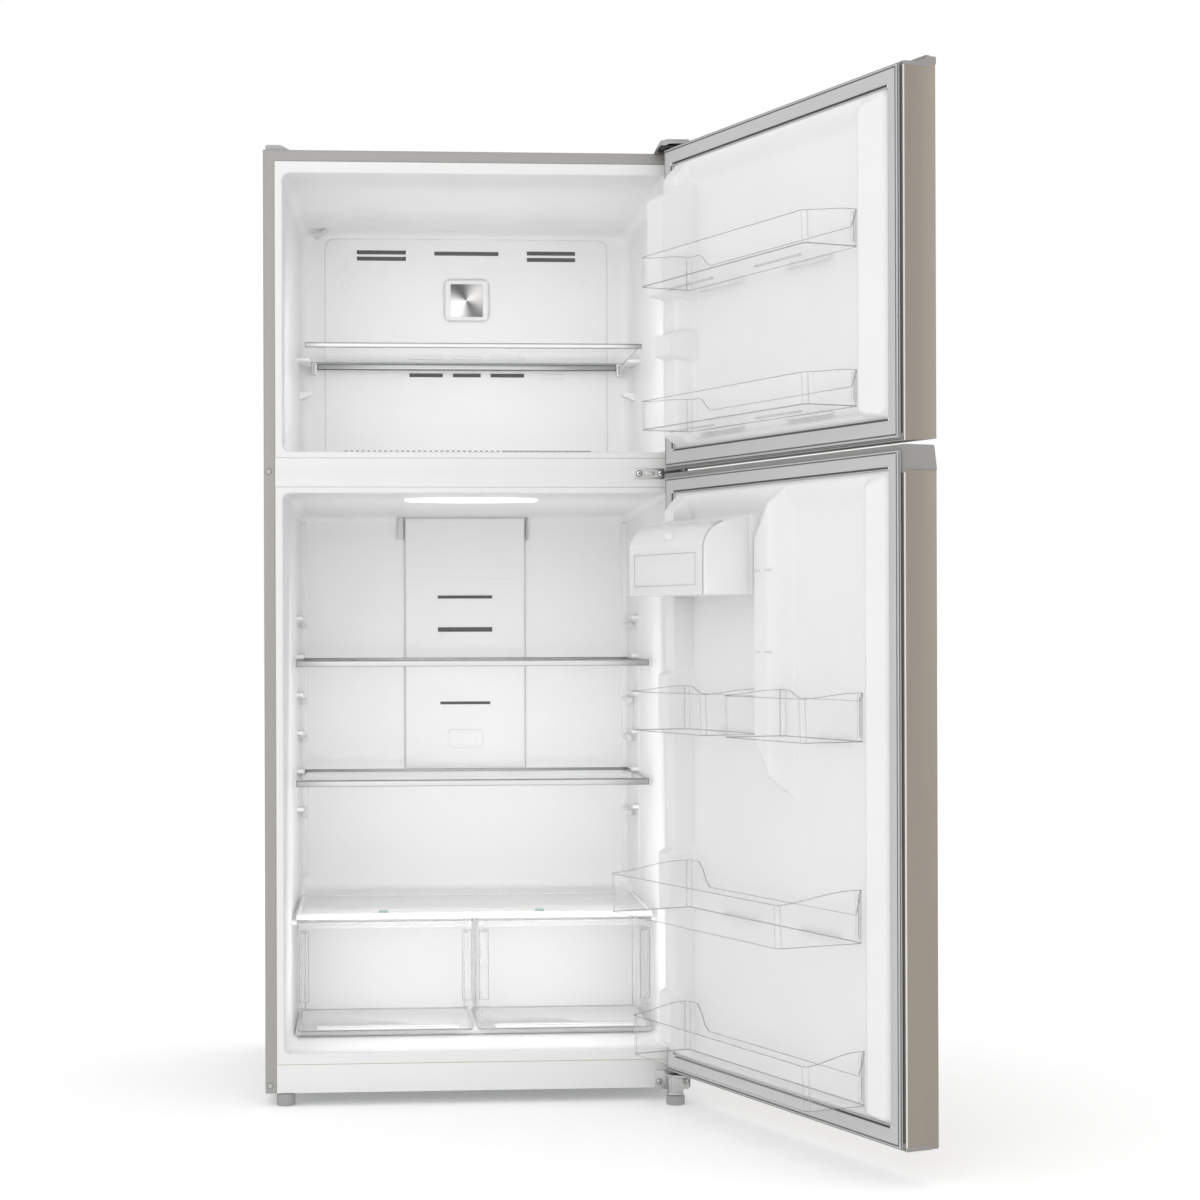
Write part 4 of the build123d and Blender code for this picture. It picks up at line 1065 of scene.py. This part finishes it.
def cut_niche(ob, inset, ahead, behind):
    """Cuts the dispenser's niche out of a piece of the fridge door."""
    lo, hi = span("dispenser_housing")
    bm = bmesh.new()
    block(bm, lo.x + inset, hi.x - inset, lo.y - ahead, hi.y + behind, lo.z + inset,
          hi.z - inset)
    cut_out(ob, bm, "fridge_door")
def cut_out(ob, bm, body="cabinet"):
    """Cuts a shape drawn in millimetres out of a finished piece."""
    cutter = meshed("cutter", bm, place_of(body))
    tool = ob.modifiers.new("cut", "BOOLEAN")
    tool.operation = "DIFFERENCE"
    tool.solver = "EXACT"
    tool.object = cutter
    bpy.context.view_layer.update()
    shape = bpy.data.meshes.new_from_object(ob.evaluated_get(
        bpy.context.evaluated_depsgraph_get()))
    ob.modifiers.clear()
    ob.data = shape
    bpy.data.objects.remove(cutter)


def cut_slots(ob, name, front, slots, margin, gap, thick, deep):
    """Cuts slots of (x0, x1, z, half height) into a duct cover, with a dark strip behind as
    painted shade inside the duct.
    """
    bm, dark = bmesh.new(), bmesh.new()
    for a, b, z, h in slots:
        block(bm, a, b, front - 5, front + deep, z - h, z + h, 0.5, 1)
        block(dark, a - margin, b + margin, front + gap, front + gap + thick, z - h - margin,
              z + h + margin, 0.3, 1)
    cut_out(ob, bm)
    piece(name, dark, [DARK], slot="panel_white")


def gasket(door, z0, z1, low, high):
    """Magnetic seal: two bellows outside, a crowned sealing face, a groove and its wiper.

    low and high are the outer and inner insets of its lower and upper run."""
    base, width = DOOR_IN, 27
    profile = [(0.3, 0), (-0.2, 0.7), (-0.4, 1.5), (-0.2, 2.3), (0.5, 2.7), (1.4, 3),
               (1.4, 3.7), (0.5, 4), (-0.1, 4.3), (-0.3, 5), (-0.1, 5.7), (0.8, 6.3),
               (1.9, 6.5), (2.2, 5.6), (3.8, 5.6), (4.2, 6.7), (5.2, 7), (12, 6.9),
               (21.4, 7), (22.4, 6.5), (22.8, 5.4), (22.9, 1.4), (25.4, 1.4), (25.6, 4.2),
               (26.4, 4.6), (27, 4), (27, 0)]
    # The fold between the bellows, the groove and the drop before the wiper take the dark grey as
    # painted shade.
    dark = {4, 5, 6, 12, 13, 14, 20, 21, 22}
    corners = [(-HALF, z0, 1, 1, low), (-HALF, z1, 1, -1, high), (HALF, z1, -1, -1, high),
               (HALF, z0, -1, 1, low)]
    bm = bmesh.new()
    rings = []
    for x, z, sx, sz, (outer, inner) in corners:
        grow = (inner - outer) / width
        rings.append(ring(bm, [(x + sx * (10 + o), base + 0.02 + h * 0.995,
                                z + sz * (outer + o * grow)) for o, h in profile]))
    skin(bm, rings, loop=True, index=lambda i: 1 if i in dark else 0)
    for x in (-HALF + 34.2, HALF - 34.2):
        for z in (z0 + low[1] - 2.8, z1 - high[1] + 2.8):
            lathe(bm, [(2.6, 0), (2.6, 4.4), (1.6, 5.2)], x, base + 1, z, "Y", 16, index=2)
    piece(f"{door}_seal", bm, [GASKET, GROOVE_SHADE, WHITE], f"{door}_gasket", crease=50)


# a pad is its inner edge, its depth, its full height from and to, and its fall above it
FREEZER = {
    "outline": (-341, 337, 1160.5, 1659.5), "foot": (-272, 271), "top_slope": 44,
    "low_slope": 8, "dyke_in": 284, "low_in": -284,
    "pads": [(270.5, 52, 1424, 1584, 46), (270.5, 37, 1318, 1352, 14)],
    "ridge": None,
}
FRIDGE = {
    "outline": (-341, 337, 91, 1079), "foot": (-286, 286), "top_slope": 50,
    "low_slope": 8, "dyke_in": 289, "low_in": -290,
    "pads": [(286, 33, 665, 760, 20), (286, 33, 355, 450, 20),
             (288, 33, 120, 205, 20)],
    "ridge": (-38.6, 24.6, 571, 652),
}
RIM_Y = -0.6            # liner's rim inside the gasket
DYKE_TOP = 22
FREE_TOP = 14.5


def liner_height(x, z, s):
    """Depth of a door liner's moulded surface, towards the cabinet."""
    x0, x1, z0, z1 = s["outline"]
    edge = inside(x, z, x0, x1, z0, z1, 16)
    y = PANEL_Y
    down, up = z1 - z, z - z0
    rise = min(down - 8, (up - 3) * 1.5) * 0.9
    top = RIM_Y - (RIM_Y - PANEL_Y) * smooth((down - 9) / s["top_slope"])
    y = soft_max(y, top)
    low = RIM_Y - (RIM_Y - PANEL_Y) * smooth((up - 7) / s["low_slope"])
    y = soft_max(y, low)
    foot0, foot1 = s["foot"]
    hinge = PANEL_Y + (DYKE_TOP - PANEL_Y) * smooth((x - foot1) / (s["dyke_in"] - foot1 + 4))
    hinge = min(hinge, RIM_Y + (DYKE_TOP - RIM_Y) * smooth((x1 - x) / 9))
    y = soft_max(y, min(hinge, RIM_Y + max(rise, 0)))
    slope = RIM_Y + (FREE_TOP - RIM_Y) * min(1, max(0, (x - x0 - 3) / (s["low_in"] - x0 - 3)))
    free = PANEL_Y + (slope - PANEL_Y) * smooth((foot0 - x) / 13)
    y = soft_max(y, min(free, RIM_Y + max(rise, 0)))
    for inner, depth, za, zb, fall in s["pads"]:
        near = smooth((x - inner + 1) / 7) * smooth((x1 - x) / 5)
        height = min(smooth((z - za + 14) / 14), smooth((zb + fall - z) / fall))
        y = soft_max(y, PANEL_Y + (depth - PANEL_Y) * near * height, 4)
    if s["ridge"]:
        rx0, rx1, tip, foot_z = s["ridge"]
        line = tip + (x - rx0) * (foot_z - tip) / (rx1 - rx0)
        shoulder = rx1 - 0.75 * max(0, z - 990)
        across = min(smooth((x - rx0 + 20) / 34), smooth((shoulder - x) / 7))
        ridge = PANEL_Y + (DYKE_TOP - PANEL_Y) * across * smooth((z - line) / 16)
        y = soft_max(y, min(ridge, RIM_Y + max(rise, 0)), 4)
    y = min(y, RIM_Y + 1.2 * max(rise, 0))
    return DOOR_IN + (y - DOOR_IN) * smooth(edge / 5)


def door_liner(door, shape):
    """Vacuum-formed liner as a fine grid, 1.8 mm thick."""
    x0, x1, z0, z1 = shape["outline"]
    step = 3.4
    nx, nz = int((x1 - x0 + 22) / step), int((z1 - z0 + 22) / step)
    xs = [x0 - 11 + (x1 - x0 + 22) * i / nx for i in range(nx + 1)]
    zs = [z0 - 11 + (z1 - z0 + 22) * k / nz for k in range(nz + 1)]
    bm = bmesh.new()
    front = [[bm.verts.new((x, liner_height(x, z, shape), z)) for x in xs] for z in zs]
    back = [[bm.verts.new((v.co.x, v.co.y - 1.8, v.co.z)) for v in row] for row in front]
    grid_shell(bm, front, back)
    piece(f"{door}_moulding", bm, [WHITE], f"{door}_liner", crease=70)


def liner_details():
    """Bin ledges on both doors and the small nubs on the fridge door's ridge."""
    bm = bmesh.new()
    for x0, x1 in BIN_SEATS:
        for z in (1428.5, 1183):
            block(bm, x0, x1, PANEL_Y - 1, -4, z - 3.6, z - 0.8, 1, 3)
    piece("freezer_bin_ledges", bm, [WHITE], body="freezer_door", slot="liner_white")
    bm = bmesh.new()
    for x0, x1, z in ((90, 190, 667.5), (-220, -120, 667.5), (-190, -70, 358),
                      (60, 180, 358)):
        block(bm, x0, x1, PANEL_Y - 1, -4, z - 3.6, z - 0.8, 1, 3)
    for z in (936, 803):
        for x0, x1 in ((-34, -16), (-2, 14)):
            block(bm, x0, x1, 20, 23.2, z - 1.4, z + 1.4, 1, index=1)
    piece("fridge_bin_ledges", bm, [WHITE, SHADOW_LIGHT], body="fridge_door", slot="liner_white")


def bin_tub(node, z_front, z_end, z_back, run_left=50, run_right=16, r=8):
    """Clear door bin: ends that rise to the door and a low back with S-shaped shoulders."""
    lo, hi = span(node)
    y0, y1 = lo.y + 11, hi.y
    def top(x, y):
        t = (y - y0) / (y1 - y0)
        end = z_front + (z_end - z_front) * smooth((1 - t) / 0.85)
        if y < y0 + 2:
            left = smooth((run_left + 24 - (hi.x - x)) / 40)
            right = smooth((run_right - (x - lo.x)) / 12)
            return z_back + (end - z_back) * max(left, right)
        return end
    bm = bmesh.new()
    tub(bm, lo.x, hi.x, y0, y1 - 1, lo.z - 1, 2.4, top, r=r, foot=1.8, lean=2)
    x = lo.x
    # The strip at the bin's end is drawn in the clear greys as painted edge shade.
    block(bm, x + 1, x + 2, y0 + 4, y0 + 14, lo.z + 6, z_end - 4, 0.4, index=2)
    block(bm, x + 0.8, x + 2.2, y0 + 8.2, y0 + 9.6, lo.z + 8, z_end - 6, 0.4, index=1)
    # Black strips under the freezer bins are painted shadow where the bins rest on the door's
    # ledges.
    if node.startswith("freezer"):
        for x0, x1 in BIN_SEATS:
            block(bm, x0, x1, 45, 50, lo.z - 3.4, lo.z - 0.6, 0.3, 1, index=3)
    piece(f"{node}_tub", bm, [CLEAR, CLEAR_EDGE_SHADE, CLEAR_CORNER_SHADE, SHADE_BLACK], node)


def caps(door, z0, z1):
    """Plastic end caps of a door inside its steel skin, painted black as shade where they face the
    cabinet and, on the freezer door, where they face down.
    """
    h, side_x, t = HALF, HALF + 0.3, DOOR_IN - DOOR_OUT
    bm = bmesh.new()
    def run(points, a, b, bevel, segments=2):
        """Profile from the outer face and the top of the door, pulled along X."""
        prism(bm, [(DOOR_OUT + y, z1 + z) for y, z in points], "X", a, b, bevel, segments)
    def line(low, high, out=1):
        """Dark strip of painted shade across the inner face."""
        block(bm, -h + 3, h - 3, DOOR_IN - 1, DOOR_IN + out, low, high, 0.4, 1, index=1)
    if door == "freezer_door":
        down = z0 - z1
        run([(1.2, down + 4.4), (1.2, down + 12), (t, down + 12), (t, down)], -h + 1.2, h - 1.2,
            0.5)
        front = [(1.2, -6), (1.2, 10), (11, 10.2), (11.6, 11.6)]
        run(front + [(19, 11.6), (20.4, 10.4), (20.4, 6.2), (36, 0.3), (t - 0.4, 0), (t, -1),
                     (t, -6)], -h + 1.2, 316, 0.4)
        run(front + [(15.6, 11.6), (16.6, 10.4), (16.6, -6)], 315.5, 345, 0.4)
        for side, up in ((-1, 1), (1, 0)):
            run([(11, -6.2), (11, 10.2 * up), (11.6, 11.6 * up), (19, 11.6 * up),
                 (20.4, 6.2 * up), (36, 0.3), (t + 0.1, 0), (t + 0.1, -6.2)],
                side * (h - 1), side * side_x, 0.2, 1)
        block(bm, 315.5, h - 1, DOOR_OUT + 1, DOOR_IN, z1 - 6, z1, 0.5)
        block(bm, -h, 345, DOOR_OUT, DOOR_OUT + 1.1, z1 - 1, z1 + 10.6, 0.3, 1, index=2)
        block(bm, -h, -h + 1.1, DOOR_OUT, DOOR_OUT + 11.2, z1 - 1, z1 + 10.6, 0.3, 1, index=2)
        line(z1 - 4.4, z1 - 1.2, 1.4)
        line(z0 + 2.6, z0 + 5.4)
    else:
        block(bm, -h + 1.2, h - 1.2, DOOR_OUT + 1.2, DOOR_IN, z0, z0 + 12, 1)
        pair(bm, h - 1, side_x, DOOR_OUT + 16, DOOR_IN + 0.1, z0, z0 + 6.6, 0.2, 1)
        # Dark strips on the sides where the skin meets the top cap are painted shade.
        pair(bm, h - 1, h + 0.35, DOOR_OUT + 4, DOOR_IN - 9, z1 - 38.8, z1 - 37.4, 0.2, 1, index=1)
        pair(bm, h - 10, h, DOOR_IN - 2, DOOR_IN + 0.2, z1 - 43, z1 - 36, 0.4)
        front, back = [(0, -38), (4.6, -2), (6.4, 0)], [(t - 1, 0), (t, -1), (t, -38)]
        run(front + [(11, 0), (13, -16), (31, -18), (33, 0)] + back, -h + 40, 280, 0.7)
        run(front + back, -h, -h + 40.4, 0.7)
        run(front + back, 279.6, h, 0.7)
        line(z0 + 1.6, z0 + 3.8)
    bm.normal_update()
    # Down-facing faces of the freezer caps are painted black as shade.
    for face in bm.faces:
        if face.normal.z < -0.9 and door == "freezer_door":
            face.material_index = 1
    piece(f"{door}_end_caps", bm, [CAP_GREY, SHADE_BLACK, DOOR_STEEL], f"{door}_caps")


def door_core(door, shape):
    """Foam that fills the door between its skin and its moulded liner."""
    x0, x1, z0, z1 = shape["outline"]
    nx, nz = 40, int((z1 - z0) / 15)
    xs = [x0 + 1 + (x1 - x0 - 2) * i / nx for i in range(nx + 1)]
    zs = [z0 + 1 + (z1 - z0 - 2) * k / nz for k in range(nz + 1)]
    def low(x, z):
        near = [liner_height(x + a, z + b, shape) for a in (-16, -8, 0, 8, 16)
                for b in (-14, 0, 14)]
        return min(near) - 2.6
    bm = bmesh.new()
    front = [[bm.verts.new((x, low(x, z), z)) for x in xs] for z in zs]
    back = [[bm.verts.new((x, DOOR_OUT + 1.4, z)) for x in xs] for z in zs]
    grid_shell(bm, front, back)
    ob = piece(f"{door}_filling", bm, [FOAM], f"{door}_foam")
    if door == "fridge_door":
        cut_niche(ob, -0.3, 9, 0.3)


def grid_shell(bm, front, back):
    """Closes two facing grids of points into one solid."""
    for sheet, flip in ((front, False), (back, True)):
        for low, high in zip(sheet, sheet[1:]):
            for i in range(len(low) - 1):
                quad = [low[i], low[i + 1], high[i + 1], high[i]]
                bm.faces.new(quad[::-1] if flip else quad)
    rims = [g[0] + [r[-1] for r in g[1:]] + g[-1][-2::-1] + [r[0] for r in g[-2:0:-1]]
            for g in (front, back)]
    skin(bm, rims)


def water_tank():
    """White tank body with a frosted front cover that curves back over the top."""
    lo, hi = span("tank_lid")
    front, z0 = hi.y - 3, lo.z
    x0, x1 = lo.x, hi.x
    curve = arc(front - 46, 972, 46, 0, 78, 9)
    body = [(24, z0), (front, z0)] + curve + [(24, 1029)]
    bm = bmesh.new()
    prism(bm, body, "X", x0, x1, 2, 3)
    rear = [(PANEL_Y + 1, z0), (25, z0), (25, 1029), (PANEL_Y + 1, 1030)]
    prism(bm, rear, "X", x0, 281.5, 1.2)
    piece("tank_body", bm, [TANK_WHITE], "water_tank")
    bm = bmesh.new()
    t = 2.6
    shell = [(front + 0.3, z0), (front + t, z0)] + arc(front - 46, 972, 46 + t, 0, 78, 9)
    shell += arc(front - 46, 972, 46.3, 78, 0, 9)
    prism(bm, shell, "X", x0 + 10, x1, 0.5)
    # The cover's sides and small faces, and the window lines, take the clear greys as painted edge
    # shade.
    for face in bm.faces:
        if abs(face.normal.x) > 0.5 or face.calc_area() < 120:
            face.material_index = 1
    y = front + t
    left, right, low = x0 + 34, x1 - 22, z0 + 16
    for a, b, c, d in ((left, right, low, low + 1.2), (left, right, 966, 967.2),
                       (left - 0.7, left + 0.7, low, 967), (right - 0.7, right + 0.7, low, 967)):
        block(bm, a, b, y - 0.4, y + 0.5, c, d, 0.3, 1, index=2)
    piece("tank_cover", bm, [FROSTED, CLEAR_CORNER_SHADE, CLEAR_EDGE_SHADE], "tank_lid")
    bm = bmesh.new()
    block(bm, 150, 176, y - 16, y - 4, 991, 1001, 1.5)
    piece("tank_latch", bm, [WHITE_SATIN], body="tank_lid", slot="clear_plastic")


def dispenser():
    soften("dispenser_housing", CAP_DARK, 1.2)
    soften("dispenser_lever", CAP_GREY, 0.8)
    soften("drip_tray", CAP_DARK, 0.5)


# ---- build
camera()
studio()
cabinet_shell()
freezer_liner()
fridge_liner()
emblem()
freezer_duct()
fridge_duct()
lamp()
front_covers()
back_and_base()
hinges()
for side in ("left", "right"):
    foot(side)
    roller(side)
    crisper(side)
for name in ("freezer_shelf", "upper_shelf", "lower_shelf"):
    shelf(name)
crisper_cover()
for door, shape in (("freezer_door", FREEZER), ("fridge_door", FRIDGE)):
    lo, hi = span(door + "_caps")
    z0, z1 = lo.z, hi.z - (11 if door == "freezer_door" else 0)
    if door == "freezer_door":
        door_panel(door, z0 + 0.6, z1 - 0.6, 4.2)
        gasket(door, z0, z1, (6, 37), (4, 34.5))
    else:
        door_panel(door, z0 + 2, z1 - 38, 0)
        gasket(door, z0, z1, (4, 34.5), (10, 37))
    door_liner(door, shape)
    caps(door, z0, z1)
    door_core(door, shape)
liner_details()
bin_tub("freezer_bin_upper", 1479, 1486, 1462)
bin_tub("freezer_bin_lower", 1232, 1239, 1215)
bin_tub("door_bin_left", 734.5, 742.5, 730, 30, 14)
bin_tub("door_bin_right", 734.5, 742.5, 730, 30, 14)
bin_tub("door_bin_middle", 424, 440, 399)
bin_tub("door_bin_bottom", 178, 194, 152)
water_tank()
dispenser()
